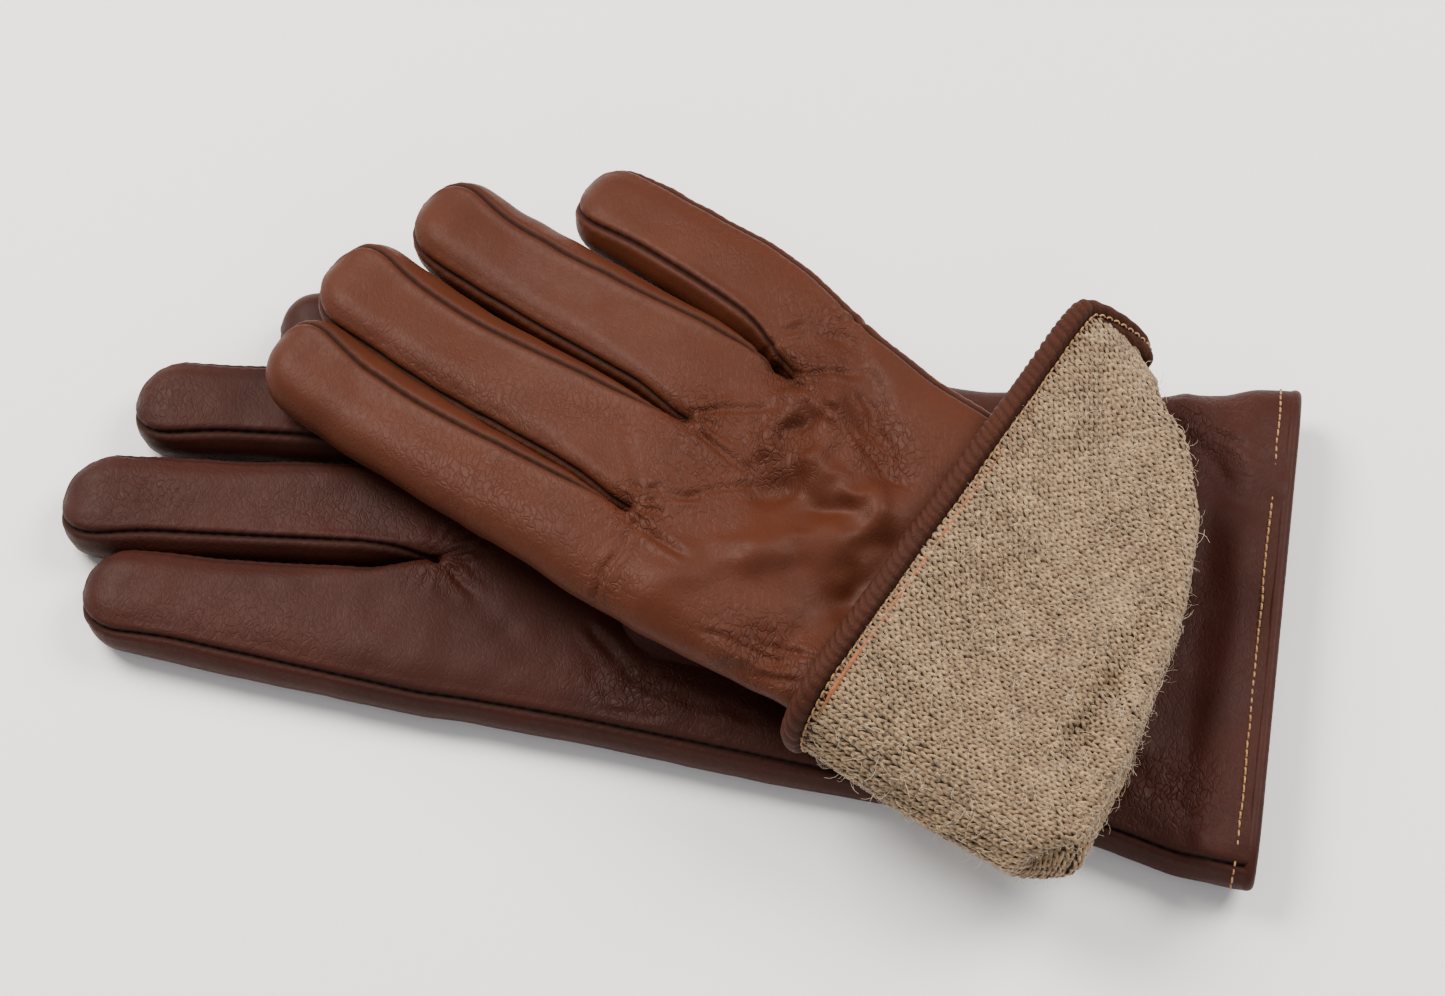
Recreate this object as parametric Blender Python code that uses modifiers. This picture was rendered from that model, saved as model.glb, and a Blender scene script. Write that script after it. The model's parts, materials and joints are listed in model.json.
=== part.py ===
"""A pair of gentleman's lined leather gloves, one lying across the other.

The left glove lies palm up on the table. The right glove lies back up across it, with its cuff turned
back over the wrist so that the knitted lining shows. Each glove is built from its real pieces: a back
and a palm panel, fourchette strips between the fingers, a set-in thumb, a knitted lining, a rolled
cuff hem and its stitching. The panels are divided at the knuckles, because the fingers bend there.

Every layer follows one surface, the hollow that the hand fills. A point of a glove is given as
u, the distance from the unfolded cuff opening towards the fingertips, v, the distance across the glove
with the little finger on the positive side, and w, the height above the middle plane of the glove.
"""

import math

import bmesh
import bpy

MM = 0.001

# Thicknesses and clearances, in millimetres.
LEATHER = 0.9
KNIT = 1.4
GAP = 0.4
TURN_GAP = 0.6
SEAM_GAP = LEATHER / 2 + 0.05
THREAD_RADIUS = 0.3

# Sizes of the glove pattern, in millimetres.
FINGER_TIPS = {"index": 238.0, "middle": 245.0, "ring": 235.0, "little": 210.0}
KNUCKLE = 163.0
HAND_HOLLOW = 3.6
FINGER_HOLLOW = 3.5
THUMB_LENGTH = 50.0
THUMB_WIDTH = 19.0
THUMB_HOLLOW = 2.75
HEM_REACH = 5.0
HEM_LEATHER = 0.8
HEM_LIFT = 1.6
HEM_NOSE = 1.0
LAYERS_INSET = 2.0
STITCH_INSET = 3.0
CUFF_TURN = 54.0
KNIT_FOLD_RADIUS = 6.4
LEATHER_FOLD_RADIUS = 0.6
LOWER_EDGE = 1.0
CUFF_RISE = 2.2
THUMB_ROOM = 0.7
CUFF_ROOM = 1.9

# Where the two gloves lie, in millimetres and degrees.
LOWER_CUFF = (108.0, -35.0)
LOWER_TURN = 7.0
UPPER_PLACE = (43.4, -21.0)
UPPER_PLACE_ALONG = 108.0
UPPER_TURN = 33.5
CENTRE = (-10.48, -19.04)

# Where each thumb grows from the palm, in u and v, and its heading from u towards v, in degrees.
LOWER_THUMB = (120.0, -27.0)
UPPER_THUMB = (127.0, -36.0)
THUMB_HEADING = 92.0
THUMB_LEAN = 40.0
THUMB_KNUCKLE = 12.0

# Distances from the hollow out to the middle of each layer.
LINING_OUT = KNIT / 2
LEATHER_OUT = KNIT + GAP + LEATHER / 2
TURNED_LEATHER_OUT = LEATHER_OUT + LEATHER + TURN_GAP
TURNED_LINING_OUT = TURNED_LEATHER_OUT + LEATHER / 2 + GAP + KNIT / 2
SHELL_OUT = LEATHER_OUT + LEATHER / 2
HEM_STEP = LEATHER / 2 + GAP + HEM_LEATHER / 2

# Heights of the upper glove's middle, stacked up from the table: fingertips lie straight on the lower
# glove, the palm lies over a thumb, and the turned cuff has its own layers beneath it.
UPPER_REST = 2 * (HAND_HOLLOW + SHELL_OUT) + GAP
TIPS_MIDDLE = UPPER_REST + FINGER_HOLLOW + SHELL_OUT
PALM_MIDDLE = UPPER_REST + 2 * (THUMB_HOLLOW + SHELL_OUT) + THUMB_ROOM + HAND_HOLLOW + SHELL_OUT
CUFF_MIDDLE = UPPER_REST + CUFF_ROOM + HAND_HOLLOW + TURNED_LINING_OUT + KNIT / 2

# The unit cross-section of the hand: rounded sides, a low crown above and a flat face below.
HAND_SECTION = [
    (1.0, 0.0), (0.965, 0.55), (0.82, 0.88), (0.42, 1.0), (0.0, 1.04), (-0.42, 1.0), (-0.82, 0.88),
    (-0.965, 0.55), (-1.0, 0.0), (-0.965, -0.6), (-0.82, -1.0), (-0.42, -1.0), (0.0, -1.0),
    (0.42, -1.0), (0.82, -1.0), (0.965, -0.6),
]
FINGER_SECTION = [
    (1.0, 0.0), (0.94, 0.6), (0.6, 0.94), (0.0, 1.0), (-0.6, 0.94), (-0.94, 0.6),
    (-1.0, 0.0), (-0.94, -0.6), (-0.6, -1.0), (0.0, -1.0), (0.6, -1.0), (0.94, -0.6),
]

# Each finger as it lies: middle of its root, middle of its tip, and half widths at root and tip.
LOWER_FINGERS = {
    "index": (-21.8, -23.6, 15.0, 12.8),
    "middle": (6.0, 0.6, 11.4, 10.8),
    "ring": (29.2, 24.5, 11.0, 10.2),
    "little": (49.6, 46.0, 8.8, 8.6),
}
UPPER_FINGERS = {
    "index": (-43.0, -44.5, 11.5, 10.6),
    "middle": (-20.0, -21.6, 10.8, 10.2),
    "ring": (1.6, 0.4, 10.2, 9.8),
    "little": (22.2, 21.4, 9.8, 8.8),
}

COLOURS = {
    "leather": ((0.155, 0.052, 0.029, 1.0), 0.42),
    "leather_shade": ((0.118, 0.038, 0.022, 1.0), 0.45),
    "knit": ((0.43, 0.33, 0.2, 1.0), 0.95),
    "thread": ((0.42, 0.25, 0.12, 1.0), 0.7),
}


def clear_scene():
    for obj in list(bpy.data.objects):
        bpy.data.objects.remove(obj)


def new_material(name):
    colour, roughness = COLOURS[name]
    material = bpy.data.materials.new(name)
    material.use_nodes = True
    shader = material.node_tree.nodes["Principled BSDF"]
    shader.inputs["Base Color"].default_value = colour
    shader.inputs["Roughness"].default_value = roughness
    shader.inputs["Metallic"].default_value = 0.0
    return material


def ease(low, high, x):
    """A smooth rise from 0 at low to 1 at high."""
    t = min(max((x - low) / (high - low), 0.0), 1.0)
    return t * t * (3 - 2 * t)


def mix(a, b, t):
    return a + (b - a) * t


class Glove:
    """One glove of the pair, and how it lies."""

    def __init__(self, name, cuff, turn, fingers, outline, middle):
        self.name = name
        self.cuff = cuff
        angle = math.radians(turn)
        self.along = (-math.cos(angle), math.sin(angle))
        self.across = (math.sin(angle), math.cos(angle))
        self.fingers = fingers
        self.outline = outline
        self.middle = middle

    def place(self, u, v, w):
        x = self.cuff[0] + self.along[0] * u + self.across[0] * v - CENTRE[0]
        y = self.cuff[1] + self.along[1] * u + self.across[1] * v - CENTRE[1]
        return (x * MM, y * MM, (self.middle(u, v) + w) * MM)

    def hand_ring(self, u_of, out, hollow=HAND_HOLLOW, wide=None):
        """One ring of points round the hand. u_of gives the distance along the glove at each v."""
        ring = []
        for a, b in HAND_SECTION:
            low, high = (wide or self.outline)(u_of(0.0))
            v = (low + high) / 2 + a * ((high - low) / 2 - SHELL_OUT + out)
            u = u_of(v)
            low, high = (wide or self.outline)(u)
            v = (low + high) / 2 + a * ((high - low) / 2 - SHELL_OUT + out)
            ring.append((u, v, b * (hollow + out)))
        return ring

    def finger_rings(self, finger, out):
        root_v, tip_v, root_half, tip_half = self.fingers[finger]
        tip = FINGER_TIPS[finger]
        rings = []
        for share in (0.0, 0.3, 0.6, 0.8, 0.91, 0.975):
            u = mix(KNUCKLE + GAP, tip - tip_half, share / 0.8) if share <= 0.8 else 0.0
            bulge = 1.0
            if share > 0.8:
                turn = (share - 0.8) / 0.2 * math.pi / 2
                u = tip - tip_half + math.sin(turn) * (tip_half - SHELL_OUT + out)
                bulge = math.cos(turn)
            half = mix(root_half, tip_half, share) - SHELL_OUT + out
            centre = mix(root_v, tip_v, share)
            high = (FINGER_HOLLOW + out) * (0.35 + 0.65 * bulge)
            rings.append([(u, centre + a * half * bulge, b * high) for a, b in FINGER_SECTION])
        return rings


def build_sheet(name, rows, thickness, material, collection, closed=False, holes=(), cap=False):
    """A skin through rows of points, given its thickness by Solidify."""
    mesh = bmesh.new()
    grid = [[mesh.verts.new(point) for point in row] for row in rows]
    count = len(rows[0])
    steps = count if closed else count - 1
    for i in range(len(rows) - 1):
        for j in range(steps):
            if (i, j) in holes:
                continue
            k = (j + 1) % count
            mesh.faces.new((grid[i][j], grid[i][k], grid[i + 1][k], grid[i + 1][j]))
    if cap:
        mesh.faces.new(grid[-1])
    bmesh.ops.delete(mesh, geom=[v for v in mesh.verts if not v.link_faces], context="VERTS")
    data = bpy.data.meshes.new(name)
    mesh.to_mesh(data)
    mesh.free()
    obj = bpy.data.objects.new(name, data)
    collection.objects.link(obj)
    data.materials.append(material)
    solid = obj.modifiers.new("thickness", "SOLIDIFY")
    solid.thickness = thickness * MM
    solid.offset = 0.0
    data.shade_smooth()
    return obj


def part_ring(ring, first, last):
    """The points of a ring from one corner to another, drawn in a little at both ends for the seam."""
    count = len(ring)
    points = [ring[k % count] for k in range(first, last + 1)]
    for end, inner in ((0, 1), (-1, -2)):
        a, b = points[end], points[inner]
        length = math.dist(a, b)
        share = SEAM_GAP / 2 / length
        points[end] = tuple(mix(p, q, share) for p, q in zip(a, b))
    return points


def placed(glove, rings):
    return [[glove.place(*point) for point in ring] for ring in rings]


# How each layer of the two gloves runs along the hand. The lower glove's layers are plain tubes.
LOWER_STATIONS = (2.0, 8.0, 16.0, 48.0, 84.0, 106.0, 132.0, KNUCKLE)
UPPER_STATIONS = (KNUCKLE, 140.0, 116.0)
# The quads, by row and column, left open for the thumb in each palm panel and in its lining.
LOWER_PALM_HOLE = {(5, 6)}
LOWER_LINING_HOLE = {(5, 5)}
UPPER_PALM_HOLE = {(1, 1)}
UPPER_LINING_HOLE = {(1, 10)}


def lower_outline(u):
    flare = 1 - ease(0, 45, u)
    swell = ease(60, 160, u)
    low = mix(-49.5 - 5.5 * flare, -36.8, ease(60, 175, u))
    high = mix(49.0 + 6.5 * flare, 58.6, swell)
    return low, high


def lower_middle(u, _v):
    half_height = HAND_HOLLOW + SHELL_OUT
    return half_height + CUFF_RISE * (1 - ease(8, 16, u))


def upper_outline(u):
    low = mix(-49.0, -54.6, ease(70, 190, u))
    high = mix(44.0, 24.5, ease(60, 112, u)) + 7.6 * ease(118, 165, u)
    return low, high


def upper_flap_outline(u):
    """The turned-back cuff spreads wider than the wrist beneath it, most of all at its hem."""
    rise = ease(CUFF_TURN, 2 * CUFF_TURN, u)
    return mix(-51.0, -56.0, rise), mix(48.0, 60.0, rise)


def upper_middle(u, _v):
    rise = (PALM_MIDDLE - CUFF_MIDDLE) * ease(74, 116, u)
    return CUFF_MIDDLE + rise - (PALM_MIDDLE - TIPS_MIDDLE) * ease(166, 222, u)


def upper_fold(v):
    """Where the cuff folds back: straight across the middle, and nearer the fingers on the thin side."""
    return CUFF_TURN + 0.5 + 23.0 * ease(-6.0, 64.0, v) + 5.0 * ease(-38.0, -54.0, -abs(v) if v < 0 else 0.0)


def hand_panels(glove, top_first, top_last, ring_sets, names, materials, collection, holes_on, holes):
    """The two leather panels of the hand: the upper one from top_first to top_last, the other the rest."""
    count = len(HAND_SECTION)
    spans = {names[0]: (top_first, top_last), names[1]: (top_last, top_first + count)}
    made = {}
    for name, (first, last) in spans.items():
        rows = [part_ring(ring, first, last) for ring in ring_sets]
        cut = holes if name == holes_on else ()
        made[name] = build_sheet(
            name, placed(glove, rows), LEATHER, materials["leather"], collection, holes=cut
        )
    return made


def fingers(glove, palm_up, materials, collection):
    """The strips and the lining tube of every finger. Spans count corners of FINGER_SECTION."""
    for finger in FINGER_TIPS:
        rings = glove.finger_rings(finger, LEATHER_OUT)
        top = (1, 5)
        low = (7, 11)
        walls = {"little_side": (11, 13), "index_side": (5, 7)}
        if finger == "index":
            walls.pop("index_side")
            top, low = (top, (5, 11)) if palm_up else ((1, 7), low)
        if finger == "little":
            walls.pop("little_side")
            top, low = ((-1, 5), low) if palm_up else (top, (7, 13))
        side = ("palm", "back") if palm_up else ("back", "palm")
        stem = f"{glove.name}_{finger}"
        for name, span, paint in (
            (f"{stem}_{side[0]}", top, "leather"),
            (f"{stem}_{side[1]}", low, "leather"),
            *((f"{stem}_fourchette_{key}", span, "leather_shade") for key, span in walls.items()),
        ):
            rows = [part_ring(ring, *span) for ring in rings]
            build_sheet(name, placed(glove, rows), LEATHER, materials[paint], collection)
        tube = placed(glove, glove.finger_rings(finger, LINING_OUT))
        build_sheet(f"{stem}_lining", tube, KNIT, materials["knit"], collection, closed=True, cap=True)


def thumb(glove, base, heading, up, materials, collection):
    """A thumb that rises from its hole in the palm and lies along it. heading is in degrees from u to v."""
    turn = math.radians(heading)
    along = (math.cos(turn), math.sin(turn))
    beside = (-along[1], along[0])
    floor = HAND_HOLLOW + SHELL_OUT + GAP
    half_wide = THUMB_WIDTH / 2
    for layer, out, paint, thick in (
        ("thumb", LEATHER_OUT, "leather", LEATHER),
        ("thumb_lining", LINING_OUT, "knit", KNIT),
    ):
        inward = out - SHELL_OUT
        middle = floor + THUMB_HOLLOW + SHELL_OUT
        high = middle - floor
        tip = THUMB_LENGTH - half_wide
        rings = []
        # Rings: distance along the thumb, height, half width, half height, and lean from lying flat.
        course = [
            (0.0, middle, half_wide, high * 1.12, THUMB_LEAN),
            (THUMB_KNUCKLE, middle, half_wide, high, 0.0),
            (mix(THUMB_KNUCKLE, tip, 0.5), middle, half_wide, high, 0.0),
            (tip, middle, half_wide, high, 0.0),
            (tip + half_wide * 0.6 + inward * 0.8, middle, half_wide * 0.8, high * 0.95, 0.0),
            (THUMB_LENGTH + inward, middle, half_wide * 0.35, high * 0.6, 0.0),
        ]
        for along_by, height, half, tall, lean in course:
            tilt = math.radians(lean)
            ring = []
            for a, b in FINGER_SECTION:
                forward = along_by - b * (tall + inward) * math.sin(tilt)
                u = base[0] + along[0] * forward + beside[0] * a * (half + inward)
                v = base[1] + along[1] * forward + beside[1] * a * (half + inward)
                rise = height + b * (tall + inward) * math.cos(tilt)
                ring.append((u, v, up * rise))
            rings.append(ring)
        build_sheet(
            f"{glove.name}_{layer}", placed(glove, rings), thick, materials[paint], collection,
            closed=True, cap=True,
        )


def stitching(glove, ring, materials, collection):
    """The thread round the hem, a closed ring of round thread."""
    curve = bpy.data.curves.new(f"{glove.name}_hem_stitching", "CURVE")
    curve.dimensions = "3D"
    curve.bevel_depth = THREAD_RADIUS * MM
    curve.bevel_resolution = 0
    spline = curve.splines.new("POLY")
    spline.points.add(len(ring) - 1)
    for point, place in zip(spline.points, ring):
        point.co = (*place, 1.0)
    spline.use_cyclic_u = True
    obj = bpy.data.objects.new(curve.name, curve)
    obj.data.materials.append(materials["thread"])
    collection.objects.link(obj)


def lower_glove(materials, collection):
    glove = Glove("lower", LOWER_CUFF, LOWER_TURN, LOWER_FINGERS, lower_outline, lower_middle)
    rings = {
        out: [glove.hand_ring(lambda _v, u=u: u, out) for u in LOWER_STATIONS]
        for out in (LEATHER_OUT, LINING_OUT)
    }
    names = ("lower_palm_panel", "lower_back_panel")
    hand_panels(glove, -1, 7, rings[LEATHER_OUT], names, materials, collection, names[0], LOWER_PALM_HOLE)
    build_sheet(
        "lower_hand_lining", placed(glove, rings[LINING_OUT]), KNIT, materials["knit"], collection,
        closed=True, holes=LOWER_LINING_HOLE,
    )
    outside, inside = LEATHER_OUT + HEM_STEP, -GAP - HEM_LEATHER / 2
    edge = LOWER_EDGE
    chamfer = 0.4 * HEM_NOSE
    course = ((edge + HEM_REACH, outside), (edge + chamfer, outside), (edge, outside - HEM_NOSE),
              (edge, inside + HEM_NOSE), (edge + chamfer, inside), (edge + HEM_REACH, inside))
    hem = [glove.hand_ring(lambda _v, u=u: u, out) for u, out in course]
    build_sheet(
        "lower_cuff_hem", placed(glove, hem), HEM_LEATHER, materials["leather"], collection, closed=True
    )
    thread_out = outside + HEM_LEATHER / 2 + GAP + THREAD_RADIUS
    thread = glove.hand_ring(lambda _v: edge + STITCH_INSET, thread_out)
    stitching(glove, placed(glove, [thread])[0], materials, collection)
    fingers(glove, True, materials, collection)
    thumb(glove, LOWER_THUMB, THUMB_HEADING, 1, materials, collection)
    return glove


def upper_rings(glove, inner_out, outer_out, turn_radius):
    """The rings of a layer that runs down the hand, turns back at the fold and runs to the hem."""
    rings = []
    for u in UPPER_STATIONS:
        rings.append(glove.hand_ring(lambda _v, u=u: u, inner_out))
    wrist = UPPER_STATIONS[-1]
    for share in (0.5, 1.0):
        rings.append(glove.hand_ring(lambda v, s=share: mix(wrist, upper_fold(v), s), inner_out))
    middle_out = (inner_out + outer_out) / 2
    rings.append(glove.hand_ring(lambda v: upper_fold(v) - turn_radius, middle_out))
    hem = 2 * CUFF_TURN - LAYERS_INSET
    for share in (0.0, 0.5, 1.0):
        rings.append(
            glove.hand_ring(
                lambda v, s=share: mix(upper_fold(v) - turn_radius / 2, hem, s), outer_out,
                wide=upper_flap_outline, hollow=HAND_HOLLOW + HEM_LIFT * share,
            )
        )
    return rings


def upper_glove(materials, collection):
    glove = Glove("upper", UPPER_PLACE, UPPER_TURN, UPPER_FINGERS, upper_outline, upper_middle)
    glove.cuff = (
        glove.cuff[0] - glove.along[0] * UPPER_PLACE_ALONG,
        glove.cuff[1] - glove.along[1] * UPPER_PLACE_ALONG,
    )
    leather = upper_rings(glove, LEATHER_OUT, TURNED_LEATHER_OUT, LEATHER_FOLD_RADIUS)
    names = ("upper_back_panel", "upper_palm_panel")
    hand_panels(glove, 1, 9, leather, names, materials, collection, names[1], UPPER_PALM_HOLE)
    knit = upper_rings(glove, LINING_OUT, TURNED_LINING_OUT, KNIT_FOLD_RADIUS)
    build_sheet(
        "upper_hand_lining", placed(glove, knit), KNIT, materials["knit"], collection,
        closed=True, holes=UPPER_LINING_HOLE,
    )
    edge = 2 * CUFF_TURN
    outside = TURNED_LINING_OUT + KNIT / 2 + GAP + HEM_LEATHER / 2
    inside = TURNED_LEATHER_OUT - HEM_STEP
    chamfer = 0.6 * HEM_NOSE
    course = ((edge - HEM_REACH, outside), (edge - chamfer, outside), (edge, outside - HEM_NOSE),
              (edge, inside + HEM_NOSE), (edge - chamfer, inside), (edge - HEM_REACH + HEM_NOSE, inside))
    hem = [
        glove.hand_ring(
            lambda _v, u=u: u, out, wide=upper_flap_outline,
            hollow=HAND_HOLLOW + HEM_LIFT * (u - CUFF_TURN) / (edge - LAYERS_INSET - CUFF_TURN),
        )
        for u, out in course
    ]
    build_sheet(
        "upper_cuff_hem", placed(glove, hem), HEM_LEATHER, materials["leather"], collection, closed=True
    )
    thread_out = outside + HEM_LEATHER / 2 + GAP + THREAD_RADIUS
    thread = glove.hand_ring(
        lambda _v: edge - STITCH_INSET, thread_out, wide=upper_flap_outline, hollow=HAND_HOLLOW + HEM_LIFT
    )
    stitching(glove, placed(glove, [thread])[0], materials, collection)
    fingers(glove, False, materials, collection)
    thumb(glove, UPPER_THUMB, THUMB_HEADING, -1, materials, collection)
    return glove


def joint_empty(name, place, nodes, collection):
    """An empty on a joint's axis, which carries the nodes that the joint moves."""
    empty = bpy.data.objects.new(name, None)
    empty.location = place
    empty.empty_display_size = 10 * MM
    collection.objects.link(empty)
    bpy.context.view_layer.update()
    for node in nodes:
        node.parent = empty
        node.matrix_parent_inverse = empty.matrix_world.inverted()
    return empty


def knuckle_point(glove, finger):
    """The middle of a finger's bend, on the side of the glove that faces up."""
    root_v = glove.fingers[finger][0]
    return glove.place(KNUCKLE + GAP / 2, root_v, FINGER_HOLLOW + SHELL_OUT)


def add_joints(lower, upper, collection):
    """Each bending finger hangs on its knuckle, and the upper glove on an empty of its own."""
    lift = joint_empty("upper_glove_lift", upper.place(KNUCKLE, 0.0, 0.0), [], collection)
    for glove, finger in ((lower, "index"), *((upper, finger) for finger in FINGER_TIPS)):
        stem = f"{glove.name}_{finger}"
        nodes = [obj for obj in collection.objects if obj.name.startswith(stem)]
        knuckle = joint_empty(f"{stem}_knuckle", knuckle_point(glove, finger), nodes, collection)
        if glove is upper:
            knuckle.parent = lift
            knuckle.matrix_parent_inverse = lift.matrix_world.inverted()
    for obj in collection.objects:
        if obj.name.startswith("upper_") and obj.parent is None and obj is not lift:
            obj.parent = lift
            obj.matrix_parent_inverse = lift.matrix_world.inverted()


def main():
    clear_scene()
    collection = bpy.data.collections.new("leather_gloves")
    bpy.context.scene.collection.children.link(collection)
    materials = {name: new_material(name) for name in COLOURS}
    lower = lower_glove(materials, collection)
    upper = upper_glove(materials, collection)
    add_joints(lower, upper, collection)


main()
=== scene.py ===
# %% [markdown]
# # A pair of lined leather gloves
# Dress gloves are sewn from thin glossed sheepskin over a knitted wool lining. The left glove lies palm
# up on the table. The right glove lies back up across it, with its cuff turned back, so that the
# lining shows. A glove is soft, but leather does not stretch into new shapes as cloth does, so
# its skin is worked out here as a surface: distances along and across the glove give each point its
# height, and seams, creases and gathers are pressed into it afterwards.

# %% Load the frame
import json
import math

import bpy
import numpy as np
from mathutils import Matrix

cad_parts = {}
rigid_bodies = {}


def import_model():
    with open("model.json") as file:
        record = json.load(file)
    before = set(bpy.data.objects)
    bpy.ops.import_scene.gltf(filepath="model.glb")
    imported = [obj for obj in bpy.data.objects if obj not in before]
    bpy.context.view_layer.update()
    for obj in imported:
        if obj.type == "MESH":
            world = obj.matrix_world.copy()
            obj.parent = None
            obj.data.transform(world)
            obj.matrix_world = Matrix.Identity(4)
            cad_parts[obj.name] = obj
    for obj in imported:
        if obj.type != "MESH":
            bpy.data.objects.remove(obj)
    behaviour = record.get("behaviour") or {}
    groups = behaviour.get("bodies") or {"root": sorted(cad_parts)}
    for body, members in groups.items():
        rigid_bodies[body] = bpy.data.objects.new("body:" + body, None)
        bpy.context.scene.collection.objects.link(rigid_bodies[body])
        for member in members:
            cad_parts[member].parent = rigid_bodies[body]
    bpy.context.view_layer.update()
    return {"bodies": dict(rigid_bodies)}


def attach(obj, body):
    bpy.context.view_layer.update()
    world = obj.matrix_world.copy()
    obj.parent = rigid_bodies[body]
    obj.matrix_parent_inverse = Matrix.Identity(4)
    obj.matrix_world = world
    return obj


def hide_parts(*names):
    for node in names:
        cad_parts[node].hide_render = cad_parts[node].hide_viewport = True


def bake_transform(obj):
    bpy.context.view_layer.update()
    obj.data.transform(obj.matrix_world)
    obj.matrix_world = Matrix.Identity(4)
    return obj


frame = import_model()
MM = 0.001

# %% [markdown]
# ## Table, light and camera
# The gloves lie on a pale table top under large soft lamps, as goods are laid out for a catalogue.
# The camera looks down at them at 62 degrees, from the side where the index fingers lie. A long
# lens keeps the gloves' shape free of distortion.

# %% Table top
TARGET = (0.01048, 0.01904, 0.0)


def colour(code):
    """An sRGB hex colour as the linear values that a shader works in."""
    parts = [int(code[i : i + 2], 16) / 255 for i in (1, 3, 5)]
    linear = [c / 12.92 if c <= 0.04045 else ((c + 0.055) / 1.055) ** 2.4 for c in parts]
    return (*linear, 1.0)


def add(tree, kind, settings=None, **inputs):
    """Adds a node with its settings. An input that is a socket is linked, and others are values."""
    node = tree.nodes.new(kind)
    for key, value in (settings or {}).items():
        setattr(node, key, value)
    for key, value in inputs.items():
        name = key.replace("_", " ")
        socket = node.inputs[int(key[1:])] if key[0] == "i" and key[1:].isdigit() else node.inputs[name]
        if isinstance(value, bpy.types.NodeSocket):
            tree.links.new(value, socket)
        else:
            socket.default_value = value
    return node


def maths(tree, operation, *values):
    """The result of one sum on sockets or numbers."""
    inputs = {f"i{k}": value for k, value in enumerate(values)}
    return add(tree, "ShaderNodeMath", {"operation": operation}, **inputs).outputs[0]


def noisy(tree, where, size, detail, **inputs):
    """Noise whose blobs are about the given size across, in metres."""
    return add(tree, "ShaderNodeTexNoise", Vector=where, Scale=1 / size, Detail=detail, **inputs)


def blended(tree, share, first, second):
    """A mix of two colours, or of two sets of coordinates."""
    return add(tree, "ShaderNodeMix", {"data_type": "RGBA"}, i0=share, i6=first, i7=second).outputs[2]


def new_material(name):
    """An empty material with its output, and the tree to fill."""
    material = bpy.data.materials.new(name)
    material.use_nodes = True
    tree = material.node_tree
    tree.nodes.clear()
    return material, tree, add(tree, "ShaderNodeOutputMaterial")


def place_object(name, data):
    """A new object in the scene for a mesh, a lamp or a camera."""
    obj = bpy.data.objects.new(name, data)
    bpy.context.scene.collection.objects.link(obj)
    return obj


def mesh_piece(name, points, faces, material):
    """A smooth mesh from points in metres."""
    mesh = bpy.data.meshes.new(name)
    mesh.from_pydata([tuple(p) for p in points], [], [tuple(f) for f in faces])
    mesh.materials.append(material)
    mesh.shade_smooth()
    return place_object(name, mesh)


def mark(mesh, **values):
    """Gives a mesh named attributes, with one number or one direction for each point."""
    for key, value in values.items():
        value = np.asarray(value, np.float32)
        kind, field = ("FLOAT_VECTOR", "vector") if value.ndim == 2 else ("FLOAT", "value")
        mesh.attributes.new(key, kind, "POINT").data.foreach_set(field, value.ravel())


table_material, tree, out = new_material("matt white card")
card = add(tree, "ShaderNodeBsdfPrincipled", Base_Color=colour("#FAF9F8"), Roughness=0.75)
tree.links.new(card.outputs[0], out.inputs[0])
HALF_TABLE = 1.5
corners = [(x * HALF_TABLE, y * HALF_TABLE, 0.0) for x, y in ((-1, -1), (1, -1), (1, 1), (-1, 1))]
table = mesh_piece("table_top", corners, [(0, 1, 2, 3)], table_material)

# %% Lamps
world = bpy.data.worlds.new("studio")
bpy.context.scene.world = world
world.use_nodes = True
sky = world.node_tree.nodes["Background"].inputs
sky["Color"].default_value = colour("#FFFFFF")
sky["Strength"].default_value = 0.45
LAMPS = (
    ("high_softbox", (-0.55, 0.4, 0.85), 0.6, 21.0, "#FFF8F0"),
    ("back_softbox", (0.65, 0.3, 0.8), 0.6, 13.0, "#FFFAF4"),
    ("front_softbox", (0.25, -0.8, 0.75), 0.6, 2.0, "#F4F7FF"),
)
for name, place, size, power, tint in LAMPS:
    light = bpy.data.lights.new(name, "AREA")
    light.shape = "DISK"
    light.size = size
    light.energy = power
    light.color = colour(tint)[:3]
    lamp = place_object(name, light)
    lamp.location = place
    aim = np.array(TARGET) - np.array(place)
    lamp.rotation_euler = (
        math.atan2(math.hypot(aim[0], aim[1]), -aim[2]),
        0.0,
        math.atan2(aim[1], aim[0]) - math.pi / 2,
    )
print("lamps:", [name for name, *_ in LAMPS])

# %% Camera
VIEW_ELEVATION = math.radians(62)
VIEW_DISTANCE = 0.8
camera_data = bpy.data.cameras.new("catalogue_camera")
camera_data.lens = 97.2
camera_data.sensor_width = 36.0
camera = place_object("catalogue_camera", camera_data)
camera.location = (
    TARGET[0],
    TARGET[1] - VIEW_DISTANCE * math.cos(VIEW_ELEVATION),
    VIEW_DISTANCE * math.sin(VIEW_ELEVATION),
)
camera.rotation_euler = (math.pi / 2 - VIEW_ELEVATION, 0.0, 0.0)
bpy.context.scene.camera = camera
print("camera at", [round(x, 3) for x in camera.location])

# %% [markdown]
# ## Glossed sheepskin
# Glove leather is hair sheep, drum-dyed brown and ironed until it has a satin face. Its grain is a
# pebble of cells about half a millimetre across. Where the hand flexes, the face breaks into fine
# creases. The shader reads how crumpled the leather is from an attribute on the mesh, so that the
# finger backs stay smooth and the leather round each crotch and wrist is finely creased.


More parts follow.
